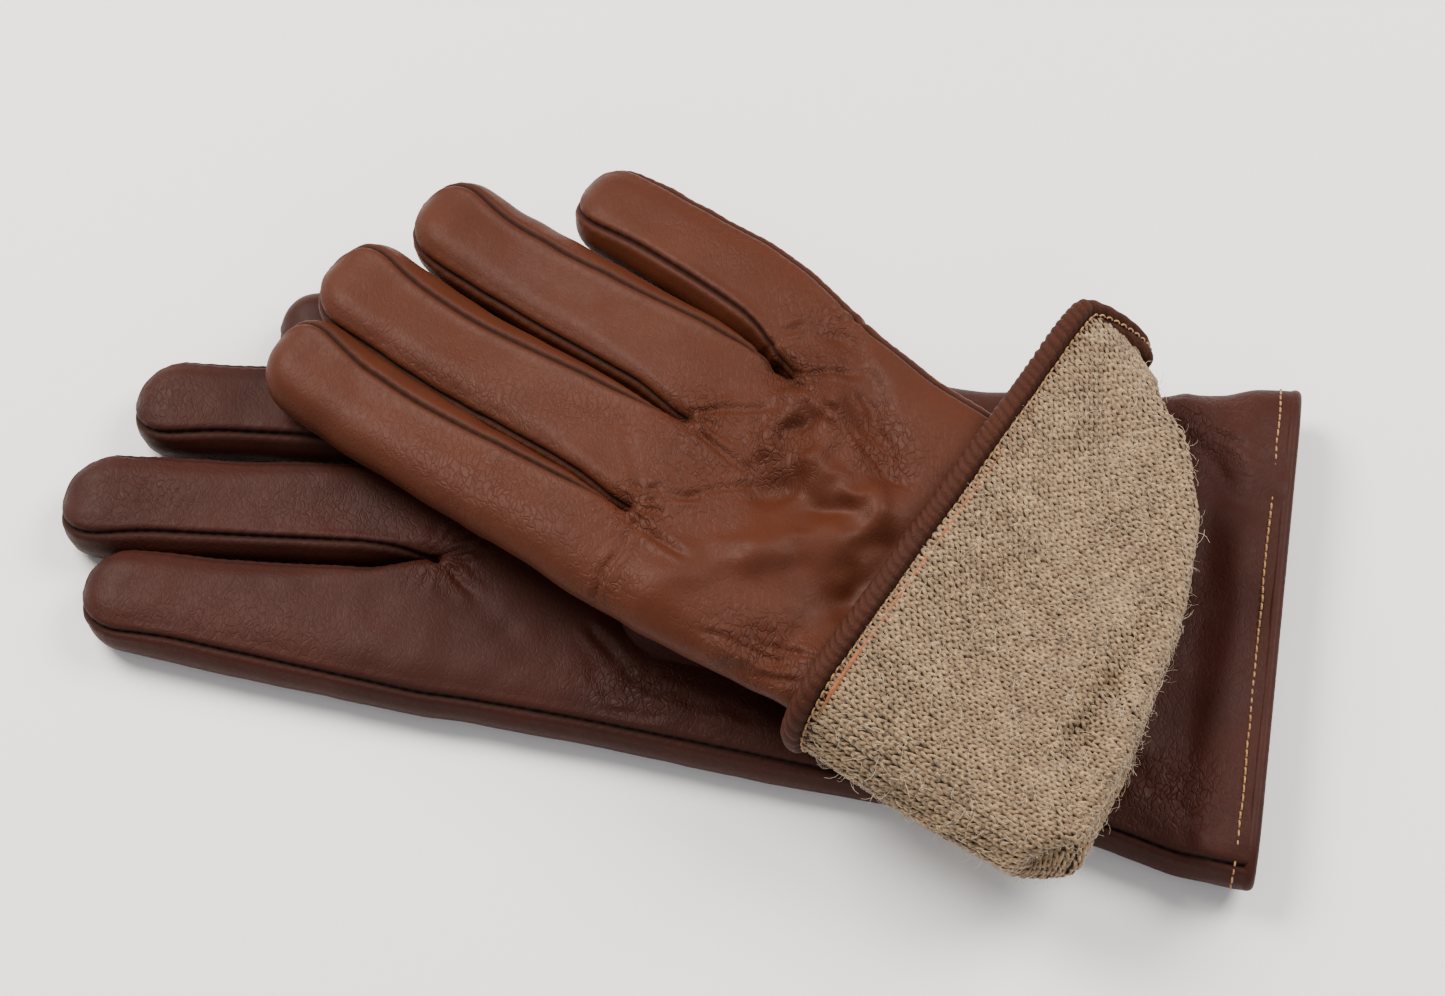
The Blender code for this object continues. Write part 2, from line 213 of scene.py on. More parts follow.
# %% Leather
def leather(name, base, deep, light, gloss):
    """Dyed sheepskin: a pebble of grain, elongated flex creases, a satin face, and painted shade in its
    grooves and creases.
    """
    material, tree, out = new_material(name)
    where = add(tree, "ShaderNodeTexCoord").outputs["Object"]
    crumple = add(tree, "ShaderNodeAttribute", {"attribute_name": "crumple"}).outputs["Fac"]
    groove = add(tree, "ShaderNodeAttribute", {"attribute_name": "groove"}).outputs["Fac"]
    # Slow changes of dye, 18 mm across, and a fine mottle of 1.2 mm.
    dye = noisy(tree, where, 0.018, 3.0)
    mottle = noisy(tree, where, 0.0012, 2.0)
    ramp = add(tree, "ShaderNodeValToRGB", Fac=dye.outputs["Fac"])
    for element, place, shade in zip(ramp.color_ramp.elements, (0.3, 0.72), (base, light)):
        element.position = place
        element.color = colour(shade)
    speck = maths(tree, "MULTIPLY", mottle.outputs["Fac"], 0.22)
    worn = blended(tree, speck, ramp.outputs[0], colour(deep))
    # Seam grooves and the hem's wrinkle valleys are mixed towards the deep colour: painted shade.
    groove_shaded = blended(tree, groove, worn, colour(deep))
    # Pebble grain: cells 0.55 mm across, drawn a little coarser than real so that it shows.
    grain = add(
        tree, "ShaderNodeTexVoronoi", {"feature": "SMOOTH_F1"}, Vector=where, Scale=1 / 0.00055,
        Smoothness=0.6,
    )
    # Flex creases: the borders of stretched cells 1.2 mm wide and 3 mm long, bent by noise.
    bend = noisy(tree, where, 0.004, 2.0)
    bent = blended(tree, 0.004, where, bend.outputs["Color"])
    turned = add(
        tree, "ShaderNodeMapping", Vector=bent, Rotation=(0.0, 0.0, -0.6), Scale=(1.0, 0.4, 1.0)
    )
    crease = add(
        tree, "ShaderNodeTexVoronoi", {"feature": "DISTANCE_TO_EDGE"}, Vector=turned.outputs[0],
        Scale=1 / 0.0012,
    ).outputs["Distance"]
    line = add(tree, "ShaderNodeMapRange", Value=crease, From_Min=0.0, From_Max=0.12)
    broad = noisy(tree, where, 0.0035, 4.0, Roughness=0.6)
    flex = maths(tree, "MULTIPLY_ADD", crumple, 0.5, 0.03)
    crack = maths(tree, "MULTIPLY_ADD", crumple, 0.6, 0.09)
    bumps = None
    for height, strength, depth in (
        (broad.outputs["Fac"], flex, 0.00035),
        (line.outputs["Result"], crack, 0.0003),
        (grain.outputs["Distance"], 0.3, 0.00008),
    ):
        inputs = {"Height": height, "Strength": strength, "Distance": depth}
        if bumps is not None:
            inputs["Normal"] = bumps.outputs[0]
        bumps = add(tree, "ShaderNodeBump", None, **inputs)
    rough = add(
        tree, "ShaderNodeMapRange", Value=mottle.outputs["Fac"], To_Min=gloss - 0.05, To_Max=gloss + 0.1
    )
    # A seam's groove is dull, for little light gets into it.
    duller = add(tree, "ShaderNodeMix", {"data_type": "FLOAT"}, i0=groove, i2=rough.outputs[0], i3=0.95)
    # The fine creases of crumpled leather are painted darker: painted shade in the creases.
    crease_line = add(
        tree, "ShaderNodeMapRange", Value=crease, From_Min=0.0, From_Max=0.09, To_Min=0.3, To_Max=0.0
    )
    crease_shade = maths(tree, "MULTIPLY", crease_line.outputs[0], crack)
    creased = blended(tree, crease_shade, groove_shaded, colour(deep))
    shader = add(
        tree, "ShaderNodeBsdfPrincipled", Base_Color=creased, Roughness=duller.outputs[0],
        Normal=bumps.outputs[0], IOR=1.46, Specular_IOR_Level=0.17,
    )
    tree.links.new(shader.outputs[0], out.inputs[0])
    return material


upper_leather = leather("satin sheepskin, worn light", "#421E0F", "#190A06", "#4A2312", 0.52)
lower_leather = leather("satin sheepskin, deep tan", "#2F120A", "#130604", "#38170E", 0.54)

# %% [markdown]
# ## Wool, thread and raw leather
# The lining is knitted from oat-coloured wool, spun from light and dark fibres together, so every
# stitch has its own shade. Wool scatters light softly, which sheen gives. The sewing thread is
# golden polyester. Where the hem's leather is cut, its tan flesh side shows, dull and fibrous.


# %% Fibres
def fibre(name, shades, spots, roughness, sheen, bump):
    """Spun yarn or raw leather: shades mixed by noise of several sizes, with a fibrous bump."""
    material, tree, out = new_material(name)
    where = add(tree, "ShaderNodeTexCoord").outputs["Object"]
    fine = noisy(tree, where, spots, 4.0, Roughness=0.7)
    broad = noisy(tree, where, 0.007, 2.0)
    both = maths(tree, "MULTIPLY_ADD", broad.outputs["Fac"], 0.25, fine.outputs["Fac"])
    spread = add(tree, "ShaderNodeMapRange", Value=both, From_Min=0.45, From_Max=0.8)
    ramp = add(tree, "ShaderNodeValToRGB", Fac=spread.outputs[0])
    elements = ramp.color_ramp.elements
    for step in range(1, len(shades) - 1):
        elements.new(step / (len(shades) - 1))
    for element, shade in zip(elements, shades):
        element.color = colour(shade)
    bumps = add(tree, "ShaderNodeBump", Height=fine.outputs["Fac"], Strength=0.6, Distance=bump)
    shader = add(
        tree, "ShaderNodeBsdfPrincipled", Base_Color=ramp.outputs[0], Roughness=roughness,
        Normal=bumps.outputs[0], Sheen_Weight=sheen, Sheen_Roughness=0.4,
    )
    tree.links.new(shader.outputs[0], out.inputs[0])
    return material


wool = fibre("oat wool yarn", ("#43352A", "#725C45", "#8B7254", "#A98E69"), 0.0009, 0.92, 0.25, 0.0002)
# A dark wool colour for the tube under the stitches: painted shade for the gaps between the loops.
gap_shade_wool = fibre("wool between the stitches", ("#2E251A", "#4A3D2C"), 0.001, 0.95, 0.0, 0.0002)
wool_fuzz = fibre("loose wool fibres", ("#B5A284", "#D8C8AA"), 0.004, 0.9, 0.3, 0.0001)
thread = fibre("golden sewing thread", ("#6A4526", "#B58A55"), 0.0006, 0.6, 0.1, 0.0001)
raw_edge = fibre("cut edge of tan leather", ("#6E3B20", "#9A5E36"), 0.0005, 0.85, 0.1, 0.0003)
print("materials:", len(bpy.data.materials))

# %% [markdown]
# ## The plan of a glove
# A point of a glove is given as u, the distance from the unfolded cuff opening towards the fingertips,
# v, the distance across with the little finger on the positive side, and w, the height above the
# glove's middle plane. These are a glove cutter's own directions, and they let the same few rules
# draw both gloves. The plan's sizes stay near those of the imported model.

# %% Sizes in millimetres
FINGERS = ("index", "middle", "ring", "little")
LOWER_TIPS = {"index": 235.5, "middle": 243.5, "ring": 233.0, "little": 207.0}
UPPER_TIPS = {"index": 244.5, "middle": 246.0, "ring": 238.8, "little": 212.5}
KNUCKLE = 163.0
KNUCKLE_REACH = 16
HALF_THICK = 6.3
CENTRE = (-10.48, -19.04)


def ease(low, high, x):
    """A smooth rise from 0 at low to 1 at high."""
    t = np.clip((np.asarray(x, float) - low) / (high - low), 0.0, 1.0)
    return t * t * (3 - 2 * t)


def mix(a, b, t):
    return a + (b - a) * t


def hump(x, width):
    """1 in the middle, fading to nothing a few widths away."""
    return np.exp(-((x / width) ** 2))


def noise(x, y, seed):
    """Smooth random heights between -1 and 1, with one new value for each unit of x and y."""
    table_size = 97
    values = np.random.default_rng(seed).uniform(-1, 1, (table_size, table_size))
    x, y = np.broadcast_arrays(np.asarray(x, float), np.asarray(y, float))
    i, j = np.floor(x).astype(int), np.floor(y).astype(int)
    s, t = ease(0, 1, x - i), ease(0, 1, y - j)
    corner = [[values[(i + a) % table_size, (j + b) % table_size] for b in (0, 1)] for a in (0, 1)]
    return mix(mix(corner[0][0], corner[1][0], s), mix(corner[0][1], corner[1][1], s), t)


def lower_outline(u):
    flare = 1 - ease(0, 45, u)
    low = mix(-46.5 - 8.5 * flare, -36.8, ease(30, 175, u))
    high = mix(49.0 + 6.5 * flare, 58.6, ease(60, 160, u))
    return low, high


def upper_outline(u):
    low = mix(-49.0, -54.6, ease(70, 190, u))
    high = mix(44.0, 24.5, ease(60, 112, u)) + 7.6 * ease(118, 165, u)
    return low, high


def lower_middle(u, v):
    return HALF_THICK + 2.2 * (1 - ease(8, 16, u)) + 0 * v


def upper_middle(u, v):
    return 24.5 + 6.4 * ease(74, 116, u) - 10.0 * ease(162, 226, u) + 0 * v


class Glove:
    """One glove: where it lies, its outline, its crotches and its fingers."""

    def __init__(self, name, cuff, turn, tips, fingers, crotches, outline, middle, split, skew):
        self.name = name
        self.cuff = cuff
        angle = math.radians(turn)
        self.along = (-math.cos(angle), math.sin(angle))
        self.across = (math.sin(angle), math.cos(angle))
        self.tips = tips
        self.fingers = fingers
        self.crotches = crotches
        self.outline = outline
        self.middle = middle
        self.split = split
        self.skew = skew

    def place(self, u, v, w):
        """Points in metres from distances in millimetres."""
        u, v, w = np.broadcast_arrays(np.asarray(u, float), v, w)
        height = self.middle(u, v) + w
        # A cuff's edge isn't quite square to its fingers.
        u = u - (self.skew[0] + self.skew[1] * v) * ease(60, 0, u)
        x = self.cuff[0] + self.along[0] * u + self.across[0] * v - CENTRE[0]
        y = self.cuff[1] + self.along[1] * u + self.across[1] * v - CENTRE[1]
        return np.stack([x, y, height], axis=-1) * MM

    def edges(self, finger, u):
        """Where a finger's strip of the glove begins and ends across it."""
        low, high = self.outline(u)
        root, tip_v, root_half, tip_half = self.fingers[finger]
        share = np.clip((u - KNUCKLE) / (self.tips[finger] - KNUCKLE), 0, 1)
        centre = mix(root, tip_v, share)
        half = mix(root_half, tip_half, share)
        found = []
        for side, sign in ((0, -1), (1, 1)):
            border = FINGERS.index(finger) + side
            free = centre + sign * half
            if border in (0, len(FINGERS)):
                joined = low if border == 0 else high
                found.append(mix(joined, free, ease(150, 172, u)))
            else:
                crotch_u, crotch_v = self.crotches[border - 1]
                ends = self.outline(crotch_u)
                joined = low + (high - low) * (crotch_v - ends[0]) / (ends[1] - ends[0])
                parted = mix(crotch_v, free, ease(crotch_u, crotch_u + 14, u))
                found.append(np.where(u < crotch_u, joined, parted))
        return found


LOWER_FINGERS = {
    "index": (-21.8, -19.4, 15.2, 9.8),
    "middle": (6.0, 0.6, 11.4, 10.8),
    "ring": (29.2, 24.5, 11.0, 10.2),
    "little": (49.6, 46.0, 8.8, 8.6),
}
UPPER_FINGERS = {
    "index": (-43.2, -36.2, 9.9, 10.4),
    "middle": (-22.6, -15.6, 11.4, 11.4),
    "ring": (0.2, 7.4, 11.4, 11.0),
    "little": (22.4, 27.8, 11.0, 9.2),
}
UPPER_TURN = 33.5
TURNED_CUFF = 108.0
UPPER_CUFF = (
    43.4 + TURNED_CUFF * math.cos(math.radians(UPPER_TURN)),
    -21.0 - TURNED_CUFF * math.sin(math.radians(UPPER_TURN)),
)
lower = Glove(
    "lower", (108.0, -35.0), 7.0, LOWER_TIPS, LOWER_FINGERS,
    ((166.0, -4.6), (165.0, 17.8), (157.0, 40.4)), lower_outline, lower_middle, 167.0, (2.4, 0.03),
)
upper = Glove(
    "upper", UPPER_CUFF, UPPER_TURN, UPPER_TIPS, UPPER_FINGERS,
    ((159.8, -34.2), (161.2, -11.6), (149.9, 9.0)), upper_outline, upper_middle, 162.0, (0.0, 0.0),
)
print("fingertips:", {g.name: list(g.tips.values()) for g in (lower, upper)})

# %% [markdown]
# ## The leather skin
# Each finger is a strip of the glove that runs from its tip down to the cuff. Across a strip, the
# columns of points stand closer together at its seams and edges, where the leather turns sharply.
# Round a crotch the skin dips, because the gusset strip between two fingers pulls it down. Both
# faces of all the strips make one net first. The net is then cut along its seams into the pieces that
# a glover would cut, with the net's own normals kept, so that the cuts don't show as facets.

# %% Section of a strip
TOP_COLUMNS = (12, 32, 12)
UNDER_COLUMNS = (8, 16, 8)


def across_strip(counts):
    """Places across a face: which of its three parts, and how far through that part."""
    part, share = [], []
    for index, count in enumerate(counts):
        t = np.linspace(0, 1, count + 1)
        if index == 1:
            t = t - 0.6 * np.sin(2 * np.pi * t) / (2 * np.pi)
        elif index == 0:
            t = 1 - (1 - t) ** 1.5
        else:
            t = t**1.5
        first = 0 if index == 0 else 1
        part.extend([index] * (count + 1 - first))
        share.extend(t[first:])
    return np.array(part), np.array(share)


def seam_inset(glove, finger, side, u):
    """How far in from the edge of a finger its upper seam runs, in millimetres."""
    number = FINGERS.index(finger)
    border = number + (1 if side else 0)
    tip = glove.tips[finger]
    if border == 0:
        return (2.6 if glove.name == "lower" else 2.5) + 0 * u
    if border == len(FINGERS):
        return 2.2 + 0 * u
    crotch = glove.crotches[border - 1][0]
    near = np.abs(u - crotch)
    if glove.name == "upper":
        width = (5.6 if side else 0.9 if finger != "little" else 2.9) + 0 * u
        if side:
            width = width - 2.6 * (1 - ease(crotch, tip - 30, u))
    else:
        width = (1.6 if side else 3.0) + 0 * u
    open_by = ease(0, 16, near)
    return mix(0.5, width, open_by)


def strip_face(glove, finger, u, top):
    """One face of a strip: u, v and w for each row and column, and what lies where."""
    left, right = (e[:, None] for e in glove.edges(finger, u))
    part, share = across_strip(TOP_COLUMNS if top else UNDER_COLUMNS)
    tip, half_tip = glove.tips[finger], glove.fingers[finger][3]
    turn = np.clip((u - (tip - half_tip)) / half_tip, 0, 1)
    shrink = np.sqrt(np.maximum(1 - turn**2.3, 0.0))[:, None]
    centre, half = (left + right) / 2, (right - left) / 2 * shrink
    insets = []
    for side in (0, 1):
        inset = seam_inset(glove, finger, side, u) if top else 3.4 + 0 * u
        inset = inset * mix(1.0, 0.55, ease(tip - 22, tip, u))
        insets.append(np.clip(inset[:, None] * shrink / np.maximum(half, 1e-3), 0.01, 0.9))
    angle_left, angle_right = -np.arcsin(1 - insets[0]), np.arcsin(1 - insets[1])
    quarter = np.pi / 2
    angle = np.where(
        part == 0,
        mix(-quarter, angle_left, share),
        np.where(part == 1, mix(angle_left, angle_right, share), mix(angle_right, quarter, share)),
    )
    number = FINGERS.index(finger)
    even, curved = angle / quarter, np.sin(angle)
    spread = curved
    for side, sign in ((0, -1), (1, 1)):
        border = number + side
        if border not in (0, len(FINGERS)):
            crotch = glove.crotches[border - 1][0]
            free = ease(crotch - 14, crotch, u)[:, None]
            spread = np.where(np.sign(angle) == sign, mix(even, curved, free), spread)
    v = centre + half * spread
    rows = np.broadcast_to(u[:, None], v.shape)
    height = np.ones_like(v)
    for side, sign in ((0, -1), (1, 1)):
        border = number + side
        edge = centre + sign * half
        inward = sign * (edge - v)
        full = np.maximum(half, 0.4)
        if border in (0, len(FINGERS)):
            radius = mix(11.0, 0.8 * full, ease(150, 185, rows)) if top else 5.5 * shrink + 0 * v
            reach = inward
        else:
            crotch_u, crotch_v = glove.crotches[border - 1]
            below = np.hypot(crotch_u - rows, v - crotch_v)
            reach = np.where(rows < crotch_u, below, inward)
            flat_by = ease(crotch_u, crotch_u + 50, rows)
            radius = mix(3.2, 0.62 * full, flat_by) if top else 5.0 * shrink + 0 * v
        radius = np.maximum(radius, 0.3)
        height = height * np.sqrt(np.maximum(1 - (1 - np.clip(reach / radius, 0, 1)) ** 2, 0))
    blunt = np.sqrt(np.maximum(1 - turn**2.6, 0.0))[:, None]
    w = HALF_THICK * height * blunt * (1 if top else -1)
    return rows, v, w, part


print("columns over and under a finger:", sum(TOP_COLUMNS), sum(UNDER_COLUMNS))

# %% [markdown]
# ## Creases, folds and gathers
# Worn leather keeps the marks of the hand: deep soft folds where it collapsed over the knuckles,
# sharp creases that run out of each crotch, and puckers where the thread drew the seam tight. Each mark
# is a stroke: two ends, a width and a height, in glove directions, as a sculptor would press it in.

# %% Strokes, as (u, v) at each end, width, height
UPPER_FOLDS = (
    ((143, -9), (146, 2), 2.4, 1.5),
    ((146, 3), (138, 5), 2.6, 1.6),
    ((137.5, 4.5), (134, -6), 3.0, 2.1),
    ((141, -6), (140, 1), 2.2, -1.3),
    ((139.5, -16), (137, -13.5), 3.6, -2.8),
    ((133, -8), (118, -8.5), 3.4, 2.4),
    ((127, -15), (121, -12), 2.6, -1.2),
    ((146, -46), (133, -29), 5.0, 1.2),
    ((133, -29), (119, -14), 4.5, 2.2),
    ((117.5, -42), (112.5, -27), 6.0, -2.6),
    ((112.5, -27), (113.5, -15), 5.0, -2.4),
    ((145, 21), (135, 14), 3.2, -1.8),
    ((131, 10), (121, 0), 3.6, -2.2),
    ((140, 8), (128, -1), 3.2, 1.4),
    ((152, 8), (146, 3), 2.4, -1.3),
    ((126, -50), (112, -51), 4.0, 0.7),
)
UPPER_CREASES = (
    ((158.5, -37), (145.6, -37.7), 0.8, -0.5),
    ((155.5, -41), (154.5, -54), 0.6, -0.75),
    ((168, -21), (159.5, -30.5), 0.6, -0.45),
    ((161, -30), (150, -26), 0.7, -0.5),
    ((150, -26), (143, -18), 0.7, -0.4),
    ((157, -14), (146, -15), 0.8, -0.5),
    ((159, -9), (149, -2), 0.8, -0.5),
    ((150, -2), (144, -12), 0.8, -0.45),
    ((149, 8), (141, 14), 0.8, -0.6),
    ((147, 6), (136, 4), 0.8, -0.5),
    ((143, -3), (137, 4), 0.7, -0.45),
    ((131, 3), (119, -1), 0.7, -0.4),
    ((134, 12), (121, 2), 0.8, -0.45),
    ((131, -48), (117, -46), 0.7, -0.35),
    ((129, -52), (113, -48), 0.7, -0.35),
    ((124, -45), (111, -41), 0.6, -0.3),
    ((157, 10), (150, 26), 0.7, -0.35),
    ((154, 17), (144, 28), 0.7, -0.35),
)
LOWER_FOLDS = (
    ((26, 55), (4, 30), 4.0, 1.1),
    ((34, 48), (10, 26), 4.0, -1.1),
    ((24, -38), (8, -50), 3.0, 1.0),
    ((30, -32), (14, -46), 3.0, -1.0),
    ((60, -8), (12, -16), 8.0, 0.8),
    ((40, 10), (8, 4), 6.0, -0.7),
    ((190, -22), (170, -28), 7.0, 0.5),
    ((215, -2), (190, 2), 5.0, -0.5),
)
LOWER_CREASES = (
    ((23, 47), (8, 36), 0.7, -0.35),
    ((28, 50), (14, 33), 0.7, -0.3),
    ((24, -36), (12, -44), 0.7, -0.4),
    ((20, -34), (7, -42), 0.7, -0.35),
    ((166, -5), (158, -12), 0.8, -0.35),
    ((165, -5), (157, -1), 0.8, -0.35),
    ((132, -18), (124, -26.6), 0.7, -0.8),
    ((124, -26.6), (118.6, -29), 0.7, -0.8),
    ((118.6, -29), (100, -32.5), 0.7, -0.8),
    ((127, -31), (121, -32.5), 0.6, -0.45),
    ((126, -34), (118, -34.5), 0.6, -0.4),
    ((131, -27), (127.5, -32.5), 0.6, -0.4),
)
# Patches of crumpled leather: middle, reach along and across, and strength.
UPPER_CRUMPLED = (
    (157, -34, 9, 7, 1.0), (158, -10, 9, 9, 1.0), (147, 9, 9, 9, 1.0), (143, -8, 9, 11, 0.9),
    (122, -46, 12, 8, 1.0), (126, 4, 14, 9, 0.8), (150, 22, 12, 9, 0.6), (150, -20, 12, 12, 0.7),
    (176, -20, 14, 4, 0.5), (200, -26, 26, 6, 0.35), (185, -44, 30, 8, 0.45), (154, -50, 8, 5, 0.7),
    (190, -50, 25, 4, 0.3), (172, 26, 20, 4, 0.4),
)
LOWER_CRUMPLED = (
    (22, 44, 14, 10, 0.8), (18, -38, 12, 9, 0.9), (120, -28, 12, 7, 0.9), (164, -6, 8, 6, 0.7),
    (226, 2, 12, 9, 0.5), (200, -24, 30, 9, 0.35), (45, 0, 40, 30, 0.35), (225, 25, 10, 6, 0.4),
    (190, 2, 25, 7, 0.35), (95, -30, 40, 10, 0.4),
)


def press(u, v, strokes):
    """The height that a set of strokes adds at each point. A sharp crease gets a lip on both sides."""
    total = np.zeros_like(v)
    for index, ((u0, v0), (u1, v1), width, height) in enumerate(strokes):
        wander = 0.9 * noise(u / 4.0, v / 4.0, 50 + index) * min(width, 1.5)
        length = math.hypot(u1 - u0, v1 - v0)
        along = ((u - u0) * (u1 - u0) + (v - v0) * (v1 - v0)) / length**2
        beside = ((u - u0) * (v1 - v0) - (v - v0) * (u1 - u0)) / length + wander
        past = np.maximum(np.maximum(-along, along - 1), 0) * length
        taper = hump(past, max(width, 2.0))
        shape = hump(beside, width)
        if width < 1.5:
            shape = shape - 0.45 * hump(np.abs(beside) - 2.2 * width, width)
        total += height * shape * taper
    return total


def crumpling(u, v, patches):
    """How crumpled the leather is at each point, from 0 to 1."""
    total = np.zeros_like(v)
    for mid_u, mid_v, reach_u, reach_v, strength in patches:
        away = np.hypot((u - mid_u) / reach_u, (v - mid_v) / reach_v)
        total = np.maximum(total, strength * hump(away, 1.0))
    return total


def gathers(glove, u, v):
    """Small pleats that fan out of each crotch."""
    total = np.zeros_like(v)
    for index, (crotch_u, crotch_v) in enumerate(glove.crotches):
        away = np.hypot(u - crotch_u, v - crotch_v)
        fan = np.arctan2(v - crotch_v, crotch_u - u)
        ripple = np.cos(13 * fan + 2.5 * noise(away / 3.0, fan * 2.0, 70 + index))
        fade = ease(0.0, 2.5, away) * ease(6.0, -3.0, u - crotch_u)
        total += 0.26 * ripple * hump(away - 5.0, 4.0) * fade
    return total


def ridged(u, v, size, seed):
    """Sharp little valleys of the given spacing."""
    return -np.abs(noise(u / size, v / size, seed)) + 0.35


# %% Build the net of a glove
def seam_groove(v, w, column, depth, pucker):
    """Distance from a seam's column, turned into a groove with puffed lips, and a mask for the groove's
    painted shade.
    """
    step = np.hypot(np.diff(v, axis=1), np.diff(w, axis=1))
    arc = np.concatenate([np.zeros((len(v), 1)), np.cumsum(step, axis=1)], axis=1)
    away = np.abs(arc - arc[:, column : column + 1])
    return depth * (-hump(away, 0.4) + 0.35 * hump(away - 1.4, 0.8)) * (1 + pucker), hump(away, 0.62)


def relief(glove, finger, u, v, w, top):
    """Everything pressed into a face: seams, folds, creases and gathers, with its two attributes, crumpling
    and painted seam shade.
    """
    seed = 11 if glove is upper else 23
    number = FINGERS.index(finger)
    height = 0.35 * noise(u / 13, v / 13, seed) + 0.16 * noise(u / 5, v / 5, seed + 1)
    if glove is lower:
        height *= 0.15 + 0.85 * ease(3, 12, u)
    groove = np.zeros_like(v)
    folds, creases, patches = (
        (UPPER_FOLDS, UPPER_CREASES, UPPER_CRUMPLED) if glove is upper
        else (LOWER_FOLDS, LOWER_CREASES, LOWER_CRUMPLED)
    )
    crumple = crumpling(u, v, patches)
    if top:
        height += press(u, v, folds) + press(u, v, creases) + gathers(glove, u, v)
        # Rows of short wrinkles across the crumpled leather.
        slanting = ridged(u + 0.5 * v, v - 0.5 * u, 2.7, seed + 2)
        height += crumple * (0.34 * slanting + 0.16 * ridged(u, v, 1.5, seed + 3))
    counts = TOP_COLUMNS if top else UNDER_COLUMNS
    for side, column in ((0, counts[0]), (1, counts[0] + counts[1])):
        border = number + side
        outer = border in (0, len(FINGERS))
        if outer:
            shown = top == ((glove is lower) == (side == 0))
            begins = 0.0
        else:
            shown = True
            begins = glove.crotches[border - 1][0]
        if not shown:
            continue
        there = ease(begins - 1.5, begins + 1.5, u) if begins else np.ones_like(v)
        pucker = 0.3 * np.sin(u * 2 * np.pi / 2.6 + 2 * noise(u / 6, v * 0, seed + 4))
        dent, seam_shade = seam_groove(v, w, column, 0.6, pucker)
        height += dent * there
        # The seam's mask of painted shade, which darkens the leather colour along the groove.
        groove = np.maximum(groove, seam_shade * there * 0.85)
    return height, crumple, groove


def point_normals(points, faces):
    """The mean direction of the faces round each point."""
    normals = np.zeros_like(points)
    tri = np.concatenate([faces[:, [0, 1, 2]], faces[:, [0, 2, 3]]])
    flat = np.cross(points[tri[:, 1]] - points[tri[:, 0]], points[tri[:, 2]] - points[tri[:, 0]])
    for corner in range(3):
        np.add.at(normals, tri[:, corner], flat)
    return normals / np.maximum(np.linalg.norm(normals, axis=1, keepdims=True), 1e-12)


def piece_names(glove, finger, top, hand):
    """Which piece each of the three parts of a face belongs to."""
    face = ("palm" if glove is lower else "back") if top else ("back" if glove is lower else "palm")
    stem = "{}_{}_panel" if hand else glove.name + "_" + finger + "_{1}"
    middle_piece = stem.format(glove.name, face)
    names = []
    for side in (0, 1):
        border = FINGERS.index(finger) + (1 if side else 0)
        if border == 0:
            names.append(stem.format(glove.name, "back"))
        elif border == len(FINGERS):
            names.append(stem.format(glove.name, "palm"))
        elif hand:
            names.append(middle_piece)
        else:
            names.append(f"{glove.name}_{finger}_fourchette_{'little' if side else 'index'}_side")
    return names[0], middle_piece, names[1]


ROW_STEP = 0.85
TABLE_CLEARANCE = 0.0002


def rows_of(glove, finger, start):
    """Rows of points in millimetres, from the start up the hand and from there to a finger's tip."""
    hand = np.arange(glove.split, start, -ROW_STEP)[::-1]
    tip, half_tip = glove.tips[finger], glove.fingers[finger][3]
    straight = np.linspace(
        glove.split, tip - half_tip, int((tip - half_tip - glove.split) / ROW_STEP)
    )
    bend = tip - half_tip + half_tip * np.sin(np.linspace(0, np.pi / 2, 20)[1:])
    return (True, hand), (False, np.concatenate([straight, bend]))


def build_skin(glove, start):
    """The whole net of a glove, cut into its pieces."""
    points, pressed, faces, owners, names = [], [], [], [], []
    total = 0
    for finger in FINGERS:
        for hand, rows in rows_of(glove, finger, start):
            for top in (True, False):
                u, v, w, part = strip_face(glove, finger, rows, top)
                points.append(glove.place(u, v, w).reshape(-1, 3))
                pressed.append([x.ravel() for x in relief(glove, finger, u, v, w, top)])
                index = total + np.arange(v.size).reshape(v.shape)
                quads = np.stack(
                    [index[:-1, :-1], index[1:, :-1], index[1:, 1:], index[:-1, 1:]], axis=-1
                )
                if top:
                    quads = quads[..., ::-1]
                labels = piece_names(glove, finger, top, hand)
                names += [label for label in dict.fromkeys(labels) if label not in names]
                owner = np.array([names.index(label) for label in labels])
                owners.append(np.broadcast_to(owner[part[1:]], quads.shape[:2]).reshape(-1))
                faces.append(quads.reshape(-1, 4))
                total += v.size
    points, faces, owners = np.concatenate(points), np.concatenate(faces), np.concatenate(owners)
    # Points that lie within a micrometre of each other become one.
    _, first, inverse = np.unique(np.round(points, 6), axis=0, return_index=True, return_inverse=True)
    inverse = inverse.reshape(-1)
    counts = np.bincount(inverse)
    lift, crumples, groove_shades = (
        np.bincount(inverse, np.concatenate(x)) / counts for x in zip(*pressed)
    )
    points, faces = points[first], inverse[faces]
    points = points + point_normals(points, faces) * lift[:, None] * MM
    points[:, 2] = np.maximum(points[:, 2], TABLE_CLEARANCE)
    return {
        "names": names, "points": points, "normals": point_normals(points, faces), "faces": faces,
        "owners": owners, "crumple": crumples, "groove": groove_shades,
    }


def cut_piece(skin, label, name, material):
    """One cut piece of the net as an object, with the whole net's normals at its borders."""
    chosen = skin["faces"][skin["owners"] == skin["names"].index(label)]
    used, local = np.unique(chosen, return_inverse=True)
    local = local.reshape(-1, 4)
    faces = []
    for face in local.tolist():
        kept = [p for i, p in enumerate(face) if p != face[i - 1]]
        if len(set(kept)) == len(kept) and len(kept) > 2:
            faces.append(kept)
    obj = mesh_piece(name, skin["points"][used].tolist(), faces, material)
    mark(obj.data, crumple=skin["crumple"][used], groove=skin["groove"][used])
    obj.data.normals_split_custom_set_from_vertices(skin["normals"][used].tolist())
    return obj


def finger_of(label):
    """The finger that a piece belongs to, or nothing for a piece of the hand."""
    word = label.split("_")[1]
    return word if word in FINGERS else None


